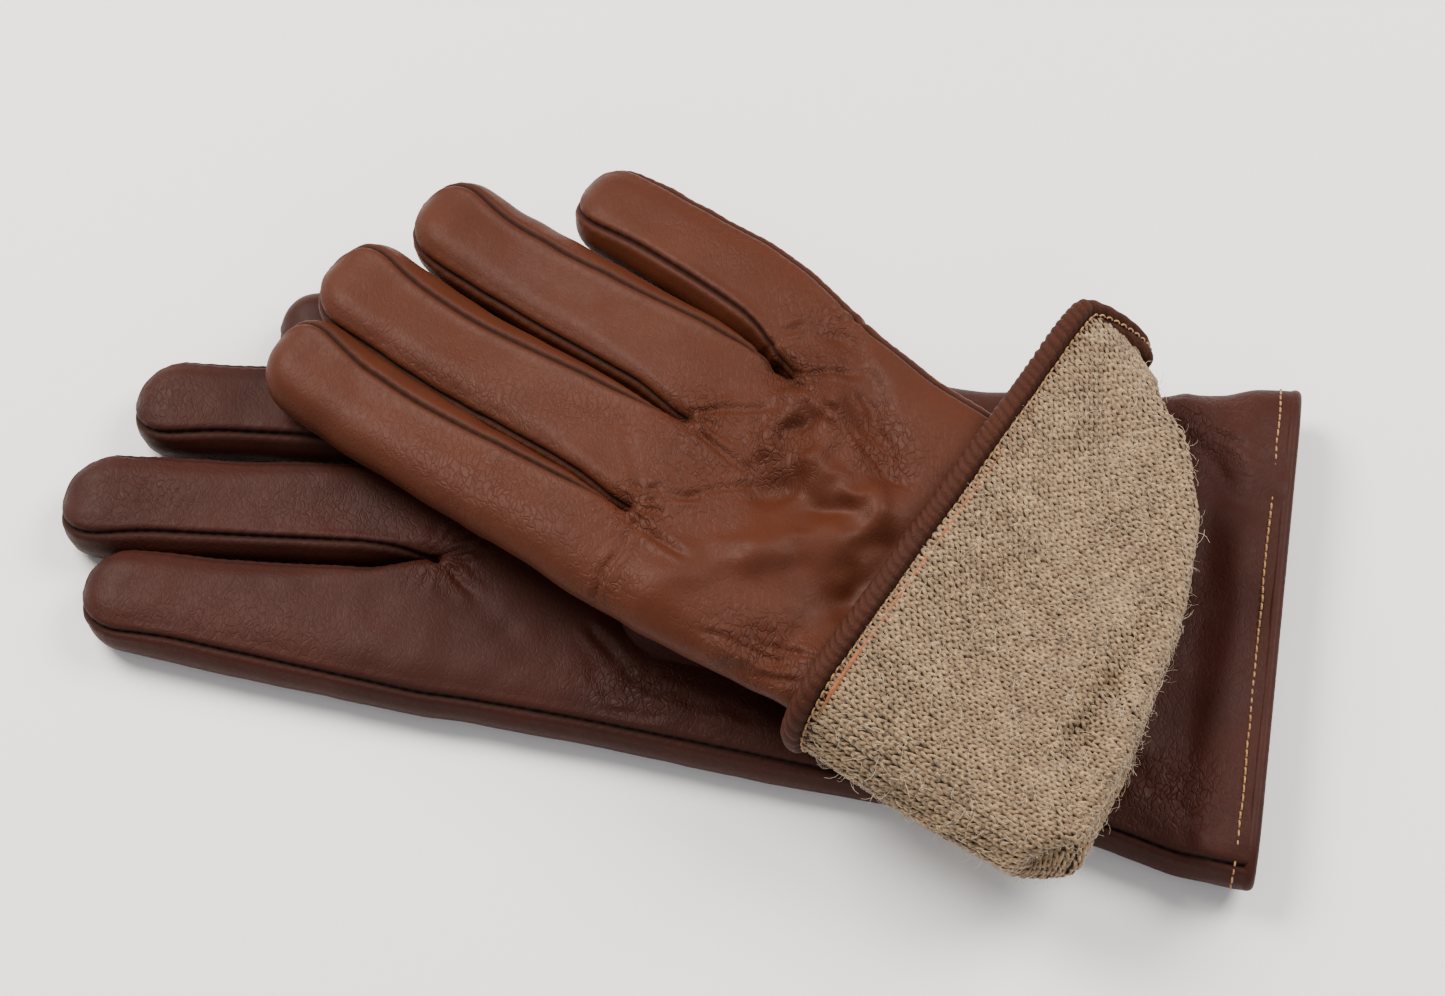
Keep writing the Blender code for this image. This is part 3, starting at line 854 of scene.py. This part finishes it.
def carry(obj, glove, finger):
    """Attaches a piece to its glove's body. A piece of a finger that has its own body is only baked in
    place and attached to nothing.
    """
    hand = f"{glove.name}_glove"
    moving = f"{glove.name}_{finger}_finger"
    if finger and moving in frame["bodies"]:
        root = glove.fingers[finger][0]
        start = glove.place(glove.split, root, 0.0)
        end = glove.place(glove.split + KNUCKLE_REACH, root, 0.0)
        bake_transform(obj)
    else:
        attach(obj, hand)


def cut_size(obj, glove):
    """Area of a sheet, and its width and length as cut, with a little more for the seams and curves."""
    mesh = obj.data
    co = np.empty(len(mesh.vertices) * 3)
    mesh.vertices.foreach_get("co", co)
    run = co.reshape(-1, 3)[:, :2] @ np.array(glove.along)
    area = sum(p.area for p in mesh.polygons)
    length = float(run.max() - run.min()) * 1.03
    return area, (area / length * 1.12, length)


for glove, start, skin_material in ((lower, 1.2, lower_leather), (upper, 92.0, upper_leather)):
    skin = build_skin(glove, start)
    for label in skin["names"]:
        piece = cut_piece(skin, label, label + "_leather", skin_material)
        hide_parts(label)
        area, flat = cut_size(piece, glove)
        carry(piece, glove, finger_of(label))
    print(glove.name, "skin:", len(skin["points"]), "points,", len(skin["names"]), "pieces")

# %% [markdown]
# ## The knitted lining
# The lining is a second glove, knitted in the round from fine wool. On the turned cuff its inside
# face shows: columns of small V stitches, called wales, that run from the hem back over the fold. A
# plain tube, painted a dark wool colour as shade between the loops, carries the shape. Geometry Nodes
# then lay one V of yarn at every stitch, because a knit's look comes from the shadow between its loops,
# which a picture of a knit doesn't have.

# %% Shape of a cuff's layers
SHELL_OUT = 2.7
HOLLOW = 3.6
HEM_LIFT = 1.6
KNIT_FACE = 6.0
HEM_LINE = 105.5
FOLD_RADIUS = KNIT_FACE / 2
# The fold's distance along the glove, at places across it.
FOLD_LINE = (
    (-60, -52, -44, -23, 13, 30, 42, 48, 60),
    (66, 58.5, 50.5, 52.5, 59.5, 66.0, 75.0, 85.0, 93.0),
)
SECOND_FOLD = (
    ((52.5, -42), (59.8, -27.3), 3.0, -1.3),
    ((59.8, -27.3), (60.7, -15), 3.2, -2.0),
    ((60.7, -15), (61.5, 5), 3.2, -1.7),
    ((68, -28), (68, 2), 5.0, 1.0),
    ((92, -20), (70, 6), 9.0, -0.7),
    ((84, 20), (72, -4), 6.0, 0.9),
    ((98, 42), (88, 30), 4.0, -1.0),
)


def flat_ring():
    """A dense ring round a flat tube with rounded sides, as fractions of its half width and height."""
    t = np.linspace(0, np.pi, 800)
    across_ring = np.concatenate([-np.cos(t), np.cos(t)[1:]])
    rim = np.clip((1 - np.abs(across_ring)) / 0.22, 0, 1)
    rise = np.sqrt(1 - (1 - rim) ** 2)
    rise[len(t) :] *= -1
    step = np.hypot(np.diff(across_ring) * 50, np.diff(rise) * 8)
    arc = np.concatenate([[0], np.cumsum(step)])
    return arc / arc[-1], across_ring, rise


RING_ARC, RING_ACROSS, RING_RISE = flat_ring()


def corner_shift(turn):
    """At its high end the hem turns a corner and runs down the side of the cuff."""
    turn = turn % 1.0
    return -11.0 * ease(0.455, 0.5, turn) * ease(0.58, 0.5, turn)


def flap_outline(u):
    return mix(-50.0, -51.5, ease(60, 108, u)), mix(45.5, 52.8, ease(82, 108, u))


def ring_point(turn, out, low, high, hollow):
    """v and w of points round the hand, from turns between 0 and 1, at a height above the hollow."""
    a = np.interp(turn % 1.0, RING_ARC, RING_ACROSS)
    b = np.interp(turn % 1.0, RING_ARC, RING_RISE)
    return (low + high) / 2 + a * ((high - low) / 2 - SHELL_OUT + out), b * (hollow + out), b


def turned_lining(turn, run):
    """A point of the upper lining's face: run is the distance from the hem back over the fold."""
    turn, run = np.broadcast_arrays(np.asarray(turn, float), np.asarray(run, float))
    v = np.interp(turn % 1.0, RING_ARC, RING_ACROSS) * 52
    fold = np.interp(v, *FOLD_LINE)
    outer = HEM_LINE - fold - FOLD_RADIUS
    bend = np.clip((run - outer) / FOLD_RADIUS, 0, np.pi)
    inner = np.maximum(run - outer - np.pi * FOLD_RADIUS, 0)
    corner = corner_shift(turn) * (1 - np.clip(run / outer, 0, 1))
    curve = fold + FOLD_RADIUS * (1 - np.sin(bend))
    u = np.where(run < outer, HEM_LINE - run + corner, curve) + inner
    out_by = FOLD_RADIUS * (1 + np.cos(bend))
    inside = ease(0, np.pi, bend)
    low, high = (mix(flap, hand, inside) for flap, hand in zip(flap_outline(u), upper_outline(u)))
    hollow = HOLLOW + HEM_LIFT * np.clip((u - 54) / 50, 0, 1) * (1 - inside)
    v, w, b = ring_point(turn, out_by, low, high, hollow)
    face = press(u, v, SECOND_FOLD) + 0.45 * noise(u / 16, v / 16, 31) + 0.25 * noise(u / 6, v / 6, 32)
    w = w + face * np.clip(b * 1.3, 0, 1) * (1 - inside)
    # Inside the hand the lining hangs clear of the creased leather.
    w = w * (1 - 0.45 * inside * ease(82, 102, u))
    return upper.place(u, v, w)


def lower_lining(turn, run):
    """A point of the lower lining's inner face, run millimetres in from the cuff's edge."""
    turn, run = np.broadcast_arrays(np.asarray(turn, float), np.asarray(run, float))
    u = 2.5 + run
    v, w, _ = ring_point(turn, 0.3, *lower_outline(u), HOLLOW)
    return lower.place(u, v, w)


def grid_piece(name, points, material, closed=False, flip=False):
    """A mesh over a grid of points. closed joins the last column to the first."""
    rows, columns = points.shape[:2]
    index = np.arange(rows * columns).reshape(rows, columns)
    if closed:
        index = np.concatenate([index, index[:, :1]], axis=1)
    corners = [index[:-1, :-1], index[:-1, 1:], index[1:, 1:], index[1:, :-1]]
    quads = np.stack(corners, axis=-1).reshape(-1, 4)
    if flip:
        quads = quads[:, ::-1]
    return mesh_piece(name, points.reshape(-1, 3), quads.tolist(), material)


def declare(obj, glove, flat, slot, *nodes, finger=None):
    """Hides the parts that a finished sheet stands for and makes it move with its glove. Its size as cut is
    not used.
    """
    if nodes:
        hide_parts(*nodes)
    carry(obj, glove, finger)


# %% Lining tubes
turns = np.linspace(0, 1, 241)[:-1]
runs = np.concatenate([np.arange(0, 74, 1.0), np.linspace(75, 112, 12)])
base = turned_lining(turns[None, :], runs[:, None])
# The tube under the stitches is painted dark, as shade between the loops.
upper_tube = grid_piece("upper_hand_lining_knit", base, gap_shade_wool, closed=True, flip=True)
declare(upper_tube, upper, (0.232, 0.112), "knit", "upper_hand_lining")
base = lower_lining(turns[None, :], np.linspace(0, 158, 60)[:, None])
lower_tube = grid_piece("lower_hand_lining_knit", base, wool, closed=True)
declare(lower_tube, lower, (0.205, 0.160), "knit", "lower_hand_lining")

for glove in (lower, upper):
    for finger in FINGERS:
        tip, half_tip = glove.tips[finger], glove.fingers[finger][3]
        bend = np.sin(np.linspace(0, np.pi / 2, 9)[1:])
        end = tip - 2.5
        rounded = end - tip + half_tip
        straight = np.linspace(glove.split + 1, tip - half_tip, 16)
        u = np.concatenate([straight, tip - half_tip + rounded * bend])
        left, right = (e[:, None] for e in glove.edges(finger, u))
        turn = np.linspace(0, 2 * np.pi, 33)[None, :-1]
        share = np.clip((u - tip + half_tip) / rounded, 0, 1)
        shrink = np.sqrt(np.maximum(1 - share**2, 0.002))[:, None]
        v = (left + right) / 2 - np.cos(turn) * ((right - left) / 2 - 2.4) * shrink
        node = f"{glove.name}_{finger}_lining"
        points = glove.place(u[:, None] + 0 * v, v, HOLLOW * np.sin(turn) * shrink)
        tube = grid_piece(node + "_knit", points, wool, closed=True)
        around = 2.2 * float((right - left)[0, 0]) * MM
        declare(tube, glove, (around / 2, (end - glove.split) * MM), "knit", node, finger=finger)

# %% [markdown]
# ## Stitches with Geometry Nodes
# One tree draws a V of yarn from two short curves and copies it to every stitch place. The places
# carry two directions, out of the cloth and along the wale, from which the tree turns each copy. The
# same tree serves both faces of the turned cuff and its mouth.


# %% Node tree helpers
def new_tree(name, inputs):
    """A Geometry Nodes tree with a geometry input, named inputs and a geometry output."""
    tree = bpy.data.node_groups.new(name, "GeometryNodeTree")
    tree.interface.new_socket("Geometry", in_out="INPUT", socket_type="NodeSocketGeometry")
    for label, kind, value in inputs:
        socket = tree.interface.new_socket(label, in_out="INPUT", socket_type=kind)
        if value is not None:
            socket.default_value = value
    tree.interface.new_socket("Geometry", in_out="OUTPUT", socket_type="NodeSocketGeometry")
    return tree, add(tree, "NodeGroupInput"), add(tree, "NodeGroupOutput")


def finish_tree(tree, group_in, group_out, geometry):
    """Turns the copies into one real mesh and gives it its material."""
    real = add(tree, "GeometryNodeRealizeInstances", Geometry=geometry)
    smooth = add(tree, "GeometryNodeSetShadeSmooth", Geometry=real.outputs[0])
    painted = add(
        tree, "GeometryNodeSetMaterial", Geometry=smooth.outputs[0],
        Material=group_in.outputs["Material"],
    )
    tree.links.new(painted.outputs[0], group_out.inputs[0])


def direction(tree, name):
    """The direction that each point of a mesh carries under a name."""
    kind = {"data_type": "FLOAT_VECTOR"}
    return add(tree, "GeometryNodeInputNamedAttribute", kind, Name=name).outputs["Attribute"]


def grow(tree, name, seeds, **values):
    """Runs a tree on a mesh and returns what it grows as a plain mesh object."""
    modifier = seeds.modifiers.new(tree.name, "NODES")
    modifier.node_group = tree
    for item in tree.interface.items_tree:
        if item.item_type == "SOCKET" and item.in_out == "INPUT":
            key = item.name.replace(" ", "_")
            if key in values:
                modifier[item.identifier] = values[key]
    graph = bpy.context.evaluated_depsgraph_get()
    mesh = bpy.data.meshes.new_from_object(seeds.evaluated_get(graph), depsgraph=graph)
    mesh.name = name
    obj = place_object(name, mesh)
    bpy.data.objects.remove(seeds)
    print(name, len(mesh.polygons), "faces")
    return obj


# %% The stitch tree
stitch_tree, group_in, group_out = new_tree(
    "knit stitches",
    (
        ("Stitch width", "NodeSocketFloat", 0.0019), ("Stitch height", "NodeSocketFloat", 0.00145),
        ("Yarn thickness", "NodeSocketFloat", 0.0009), ("Material", "NodeSocketMaterial", None),
    ),
)
YARN_SEGMENTS = 3
YARN_SIDES = 5
legs = add(stitch_tree, "GeometryNodeJoinGeometry")
ring = add(stitch_tree, "GeometryNodeCurvePrimitiveCircle", Resolution=YARN_SIDES, Radius=0.225)
along_leg = add(stitch_tree, "GeometryNodeSplineParameter").outputs["Factor"]
arch = maths(stitch_tree, "SINE", maths(stitch_tree, "MULTIPLY", along_leg, math.pi))
taper = maths(stitch_tree, "MULTIPLY_ADD", arch, 0.5, 0.5)
for side in (-1, 1):
    leg = add(
        stitch_tree, "GeometryNodeCurveQuadraticBezier", Resolution=YARN_SEGMENTS,
        Start=(0.03 * side, -0.75, -0.25), Middle=(0.24 * side, -0.05, 0.75), End=(0.42 * side, 0.72, -0.3),
    )
    tapered = add(stitch_tree, "GeometryNodeSetCurveRadius", Curve=leg.outputs[0], Radius=taper)
    tube = add(
        stitch_tree, "GeometryNodeCurveToMesh", Curve=tapered.outputs[0], Profile_Curve=ring.outputs[0]
    )
    stitch_tree.links.new(tube.outputs[0], legs.inputs[0])
size = add(
    stitch_tree, "ShaderNodeCombineXYZ", X=group_in.outputs["Stitch width"],
    Y=group_in.outputs["Stitch height"], Z=group_in.outputs["Yarn thickness"],
)
sized = add(stitch_tree, "GeometryNodeTransform", Geometry=legs.outputs[0], Scale=size.outputs[0])
facing = add(
    stitch_tree, "FunctionNodeAxesToRotation", {"primary_axis": "Z", "secondary_axis": "Y"},
    Primary_Axis=direction(stitch_tree, "upright"), Secondary_Axis=direction(stitch_tree, "wale"),
)
vary = add(
    stitch_tree, "FunctionNodeRandomValue", {"data_type": "FLOAT_VECTOR"}, Min=(0.86, 0.9, 0.8),
    Max=(1.1, 1.1, 1.2), Seed=5,
)
laid = add(
    stitch_tree, "GeometryNodeInstanceOnPoints", Points=group_in.outputs[0], Instance=sized.outputs[0],
    Rotation=facing.outputs[0], Scale=vary.outputs["Value"],
)
finish_tree(stitch_tree, group_in, group_out, laid.outputs[0])


STITCH_LIFT = 0.25


def stitch_places(name, wales, rows):
    """A point for every stitch of the upper lining, with its two directions."""
    turn, run = np.meshgrid(wales, rows)
    turn, run = turn.ravel(), run.ravel()
    rng = np.random.default_rng(len(name))
    turn = turn + rng.normal(0, 0.0004, turn.shape)
    run = run + rng.normal(0, 0.09, run.shape)
    middle = turned_lining(turn, run)
    ahead = turned_lining(turn, run + 0.5) - turned_lining(turn, run - 0.5)
    beside = turned_lining(turn + 0.002, run) - turned_lining(turn - 0.002, run)
    up = np.cross(ahead, beside)
    up /= np.linalg.norm(up, axis=1, keepdims=True)
    middle = middle + up * STITCH_LIFT * MM
    mesh = bpy.data.meshes.new(name + "_places")
    mesh.from_pydata(middle.tolist(), [], [])
    mark(mesh, upright=up, wale=ahead)
    return place_object(mesh.name, mesh)


# %% Lay the stitches
WALES = 122
ROW = 1.42
HALF_RING = 0.5
all_wales = (np.arange(WALES) + 0.5) / WALES
outer_rows = np.arange(0.6, 57.5, ROW)
mouth_rows = np.arange(58.4, 76.0, ROW)
KNIT_PARTS = (
    ("upper_cuff_stitches_back", all_wales[all_wales < HALF_RING], outer_rows),
    ("upper_cuff_stitches_palm", all_wales[all_wales >= HALF_RING], outer_rows),
    ("upper_cuff_stitches_mouth", all_wales, mouth_rows),
)
for name, wales, rows in KNIT_PARTS:
    stitches = grow(
        stitch_tree, name, stitch_places(name, wales, rows), Stitch_width=0.0019,
        Stitch_height=ROW * MM, Yarn_thickness=0.0012, Material=wool,
    )
    carry(stitches, upper, None)

# %% Loose fibres
hair_tree, group_in, group_out = new_tree(
    "loose fibres",
    (
        ("Fibre length", "NodeSocketFloat", 0.003), ("Density", "NodeSocketFloat", 300000.0),
        ("Seed", "NodeSocketInt", 3), ("Material", "NodeSocketMaterial", None),
    ),
)
spots = add(
    hair_tree, "GeometryNodeDistributePointsOnFaces", Mesh=group_in.outputs[0],
    Density=group_in.outputs["Density"], Seed=group_in.outputs["Seed"],
)
curl = add(
    hair_tree, "GeometryNodeCurveQuadraticBezier", Resolution=4, Start=(0, 0, 0),
    Middle=(0.5, 0.25, 0.45), End=(1.0, -0.1, 0.25),
)
wisp = add(hair_tree, "GeometryNodeCurvePrimitiveCircle", Resolution=3, Radius=0.009)
strand = add(hair_tree, "GeometryNodeCurveToMesh", Curve=curl.outputs[0], Profile_Curve=wisp.outputs[0])
spin = add(
    hair_tree, "FunctionNodeRandomValue", {"data_type": "FLOAT_VECTOR"}, Min=(-0.5, -0.5, 0),
    Max=(0.5, 0.5, 6.28), Seed=8,
)
long = add(hair_tree, "FunctionNodeRandomValue", {"data_type": "FLOAT"}, Seed=9, i2=0.45, i3=1.5)
scaled = maths(hair_tree, "MULTIPLY", long.outputs[1], group_in.outputs["Fibre length"])
as_turn = add(hair_tree, "FunctionNodeEulerToRotation", Euler=spin.outputs["Value"])
turned = add(
    hair_tree, "FunctionNodeRotateRotation", {"rotation_space": "LOCAL"},
    Rotation=spots.outputs["Rotation"], i1=as_turn.outputs[0],
)
hairs = add(
    hair_tree, "GeometryNodeInstanceOnPoints", Points=spots.outputs["Points"],
    Instance=strand.outputs[0], Rotation=turned.outputs[0], Scale=scaled,
)
finish_tree(hair_tree, group_in, group_out, hairs.outputs[0])
ground = turned_lining(turns[None, :], np.arange(1.0, 66, 1.0)[:, None])
fuzz_ground = grid_piece("fuzz_ground", ground, gap_shade_wool, closed=True, flip=True)
fuzz = grow(
    hair_tree, "upper_cuff_loose_fibres", fuzz_ground, Fibre_length=0.0028, Density=420000.0, Seed=3,
    Material=wool_fuzz,
)
carry(fuzz, upper, None)

# %% [markdown]
# ## Rolled hems and their stitching
# A band of leather is folded over the raw edges of leather and lining at the cuff and stitched
# through. On the turned cuff it stands out as a plump roll with small slanting wrinkles, and the cut
# edge of the band shows tan beside it. Each hem is a section carried round the cuff's ring.


# %% Hems
HEM_CENTRE = 107.6
HEM_RISE = 5.6
SEWING_LINE = 105.2
CUFF_AROUND = 236
NOSE_CENTRE, NOSE_RISE, NOSE_RADIUS = 1.25, 1.75, 1.35
NOSE_ANGLES = (35, 50, 65, 80, 92, 105, 118, 130, 142, 155, 168, 180, 194, 210, 228, 248, 268)
CUT_EDGE, CUT_EDGE_RISE = 103.9, 6.5


def hem_ring(glove, turn, u, out):
    """u, v and w of points of a hem round the cuff, from their distance along it and height."""
    if glove is lower:
        v, w, _ = ring_point(turn, out, *lower_outline(u), HOLLOW)
        return u + 0 * v, v, w
    hollow = HOLLOW + HEM_LIFT * np.clip((u - 54) / 52, 0, 1)
    v, w, _ = ring_point(turn, out, *flap_outline(u), hollow)
    return u + corner_shift(turn) + 0 * v, v, w


hem_turns = np.linspace(0, 1, 521)[:-1][None, :]
round_hem = np.linspace(0, 2 * np.pi, 41)[:, None]
around_mm = hem_turns * CUFF_AROUND
slant = 0.9 * np.sin(round_hem - 0.6)
uneven = 2.2 * noise(around_mm / 7, 0 * round_hem, 41)
pleat = np.sin(2 * np.pi * (around_mm / 1.9 + slant) + uneven)
strong = 0.5 + 0.5 * noise(around_mm / 12, 0 * round_hem, 43)
plump = 1 + 0.05 * noise(around_mm / 9, 0 * round_hem, 42) + 0.1 * pleat * strong
# The band is a plump roll, then the dip of the sewing line, then a thin lip against the knit.
reach = np.where(np.cos(round_hem) > 0, 2.5, 3.7)
u = HEM_CENTRE + reach * plump * np.cos(round_hem)
dip = 1 - 0.3 * ease(SEWING_LINE + 1.0, SEWING_LINE, u) - 0.35 * hump(u - SEWING_LINE, 0.5)
out_by = HEM_RISE + 2.6 * plump * np.sin(round_hem) * np.where(np.sin(round_hem) > 0, dip, 1.0)
band = upper.place(*hem_ring(upper, hem_turns, u, out_by))
upper_hem = grid_piece("upper_cuff_hem_leather", band, upper_leather, closed=True, flip=True)
# The whole band is a little darker, and the dip of the sewing line and the wrinkles' valleys are darker
# still, as painted shade.
shade = 0.25 + 0.75 * hump(u - SEWING_LINE, 0.6) + 0.3 * np.clip(-pleat, 0, 1)
mark(upper_hem.data, crumple=np.full(shade.size, 0.4), groove=np.clip(shade, 0, 1).ravel())
declare(upper_hem, upper, (0.016, 0.236), "leather_upper", "upper_cuff_hem")

# The lower hem is a small roll whose last two rows lie on the lining inside the cuff.
nose = np.radians(np.array(NOSE_ANGLES))[:, None]
u = np.concatenate([NOSE_CENTRE + NOSE_RADIUS * np.cos(nose), np.array([[3.0], [6.0]])])
out_by = np.concatenate([NOSE_RISE + NOSE_RADIUS * np.sin(nose), np.array([[0.4], [0.45]])])
wave = 1 + 0.04 * noise(around_mm / 5, 0 * out_by, 44)
band = lower.place(*hem_ring(lower, hem_turns, u + 0 * hem_turns, out_by * wave))
lower_hem = grid_piece("lower_cuff_hem_leather", band, lower_leather, closed=True, flip=True)
declare(lower_hem, lower, (0.010, 0.222), "leather_lower", "lower_cuff_hem")

# The band's cut edge shows on the near half of the turned cuff only.
edge_turns = np.linspace(0.03, 0.36, 260)[None, :]
edge_side = np.linspace(-1, 1, 7)[:, None]
fray = 0.25 * noise(edge_turns * 400, edge_side, 45) + 0.3 * noise(edge_turns * 90, edge_side, 46)
fade = ease(0.36, 0.2, edge_turns) * ease(0.03, 0.05, edge_turns)
u = CUT_EDGE - 0.42 * edge_side * fade + 0.4 * fray
out_by = CUT_EDGE_RISE + 0.35 * (1 - edge_side**2) + 0.15 * fray
strip = upper.place(*hem_ring(upper, edge_turns, u, out_by + 0 * u))
cut = grid_piece("upper_cuff_cut_edge", strip, raw_edge)
carry(cut, upper, None)

# %% Thread stitches
sewing_tree, group_in, group_out = new_tree(
    "sewing stitches",
    (
        ("Stitch pitch", "NodeSocketFloat", 0.0019), ("Stitch length", "NodeSocketFloat", 0.0014),
        ("Thread radius", "NodeSocketFloat", 0.00024), ("Material", "NodeSocketMaterial", None),
    ),
)
path = add(sewing_tree, "GeometryNodeMeshToCurve", Mesh=group_in.outputs[0])
even = add(
    sewing_tree, "GeometryNodeResampleCurve", {"mode": "LENGTH"}, Curve=path.outputs[0],
    Length=group_in.outputs["Stitch pitch"],
)
dip = add(
    sewing_tree, "GeometryNodeCurveQuadraticBezier", Resolution=5, Start=(-0.5, 0, -0.22),
    Middle=(0, 0, 0.34), End=(0.5, 0.06, -0.22),
)
length = group_in.outputs["Stitch length"]
stretch = add(sewing_tree, "ShaderNodeCombineXYZ", X=length, Y=length, Z=length)
long_dip = add(
    sewing_tree, "GeometryNodeTransform", Geometry=dip.outputs[0], Scale=stretch.outputs[0]
)
strand = add(
    sewing_tree, "GeometryNodeCurvePrimitiveCircle", Resolution=6,
    Radius=group_in.outputs["Thread radius"],
)
body = add(
    sewing_tree, "GeometryNodeCurveToMesh", Curve=long_dip.outputs[0],
    Profile_Curve=strand.outputs[0], Fill_Caps=True,
)
tangent = add(sewing_tree, "GeometryNodeInputTangent")
facing = add(
    sewing_tree, "FunctionNodeAxesToRotation", {"primary_axis": "X", "secondary_axis": "Z"},
    Primary_Axis=tangent.outputs[0], Secondary_Axis=direction(sewing_tree, "upright"),
)
sewn = add(
    sewing_tree, "GeometryNodeInstanceOnPoints", Points=even.outputs[0], Instance=body.outputs[0],
    Rotation=facing.outputs[0],
)
finish_tree(sewing_tree, group_in, group_out, sewn.outputs[0])


PATH_POINTS = 400


def sew(name, glove, u_line, out_line, node):
    """A closed line of stitches round a cuff."""
    turn = np.linspace(0, 1, PATH_POINTS + 1)[:-1]
    u = u_line + 0.15 * noise(turn * 60, 0 * turn, 47)
    middle = glove.place(*hem_ring(glove, turn, u, out_line))
    above = glove.place(*hem_ring(glove, turn, u, out_line + 1.0))
    mesh = bpy.data.meshes.new(name + "_path")
    links = [(i, (i + 1) % PATH_POINTS) for i in range(PATH_POINTS)]
    mesh.from_pydata(middle.tolist(), links, [])
    mark(mesh, upright=(above - middle) / MM)
    stitches = grow(
        sewing_tree, name, place_object(mesh.name, mesh), Stitch_pitch=0.0019, Stitch_length=0.0014,
        Thread_radius=0.0002, Material=thread,
    )
    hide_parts(node)
    carry(stitches, glove, None)


sew("upper_hem_thread", upper, SEWING_LINE, HEM_RISE + 1.25, "upper_hem_stitching")
sew("lower_hem_thread", lower, 4.2, SHELL_OUT + 0.2, "lower_hem_stitching")

# %% [markdown]
# ## Thumbs
# A thumb is cut in one piece and set into a hole in the palm, so it leaves the palm in a wide skirt and
# then narrows. The left thumb lies across its palm, under the other glove, and only its skirt shows.
# The right thumb lies hidden beneath its own palm.

# %% Thumb pieces
# Distances from the skirt towards the tip, and the thumb's half width and height at each.
THUMB_STATIONS = (3.0, 4.0, 6.0, 9.0, 13.0, 20.0, 40.0)
THUMB_HALF = (4.0, 8.0, 11.5, 12.5, 10.8, 9.6, 9.4)
THUMB_HEIGHT = (0.1, 1.0, 3.5, 7.4, 10.2, 10.9, 10.9)
THUMB_START, THUMB_BEND, THUMB_CAP = 3.0, 40.5, 9.5
THUMB_FLAT = (0.034, 0.048)
THUMB_LEAN = 0.035
SMOOTH_ROWS = slice(2, -16)


def thumb(glove, base_u, base_v, up, material):
    """A thumb lofted from its skirt in the palm to its tip."""
    cap = THUMB_CAP * np.sin(np.linspace(0, np.pi / 2, 14)[1:])
    d = np.concatenate([np.linspace(THUMB_START, THUMB_BEND, 60), THUMB_BEND + cap])[:, None]
    ends = np.sqrt(np.maximum(1 - np.clip((d - THUMB_BEND) / THUMB_CAP, 0, 1) ** 2, 0.0))
    half = np.interp(d, THUMB_STATIONS, THUMB_HALF) * ends
    height = np.interp(d, THUMB_STATIONS, THUMB_HEIGHT) * ends**0.7
    for band in (half, height):
        band[SMOOTH_ROWS, 0] = np.convolve(band[:, 0], np.ones(5) / 5, "same")[SMOOTH_ROWS]
    turn = np.linspace(0, 2 * np.pi, 61)[:-1][None, :]
    side, rise = -np.cos(turn), np.sin(turn)
    middle = HALF_THICK - 0.5 + ease(2, 14, d) + height / 2
    u = base_u - 5 * (1 - ease(3, 18, d)) + side * half
    v = base_v + d + THUMB_LEAN * (u - base_u)
    w = middle + np.sign(rise) * np.abs(rise) ** 0.85 * height / 2
    wrinkles = 0.35 * noise(u / 6, v / 6, 61) + 0.25 * ridged(u, v, 3.0, 62) * ease(16, 4, d)
    w = w + (rise > 0) * wrinkles
    name = f"{glove.name}_thumb"
    points = glove.place(u, v, up * w)
    obj = grid_piece(name + "_leather", points, material, closed=True, flip=up > 0)
    count = len(obj.data.vertices)
    mark(obj.data, crumple=np.full(count, 0.5), groove=np.zeros(count))
    declare(obj, glove, THUMB_FLAT, f"leather_{glove.name}", name)
    inner = glove.place(u, v - 1.0, up * (middle + (w - middle) * 0.7))[::3, ::2][8:-2]
    knit_tube = grid_piece(name + "_lining_knit", inner, wool, closed=True, flip=up > 0)
    declare(knit_tube, glove, (0.038, 0.046), "knit", name + "_lining")


thumb(lower, 118.0, -26.0, 1, lower_leather)
thumb(upper, 127.0, -34.0, -1, upper_leather)
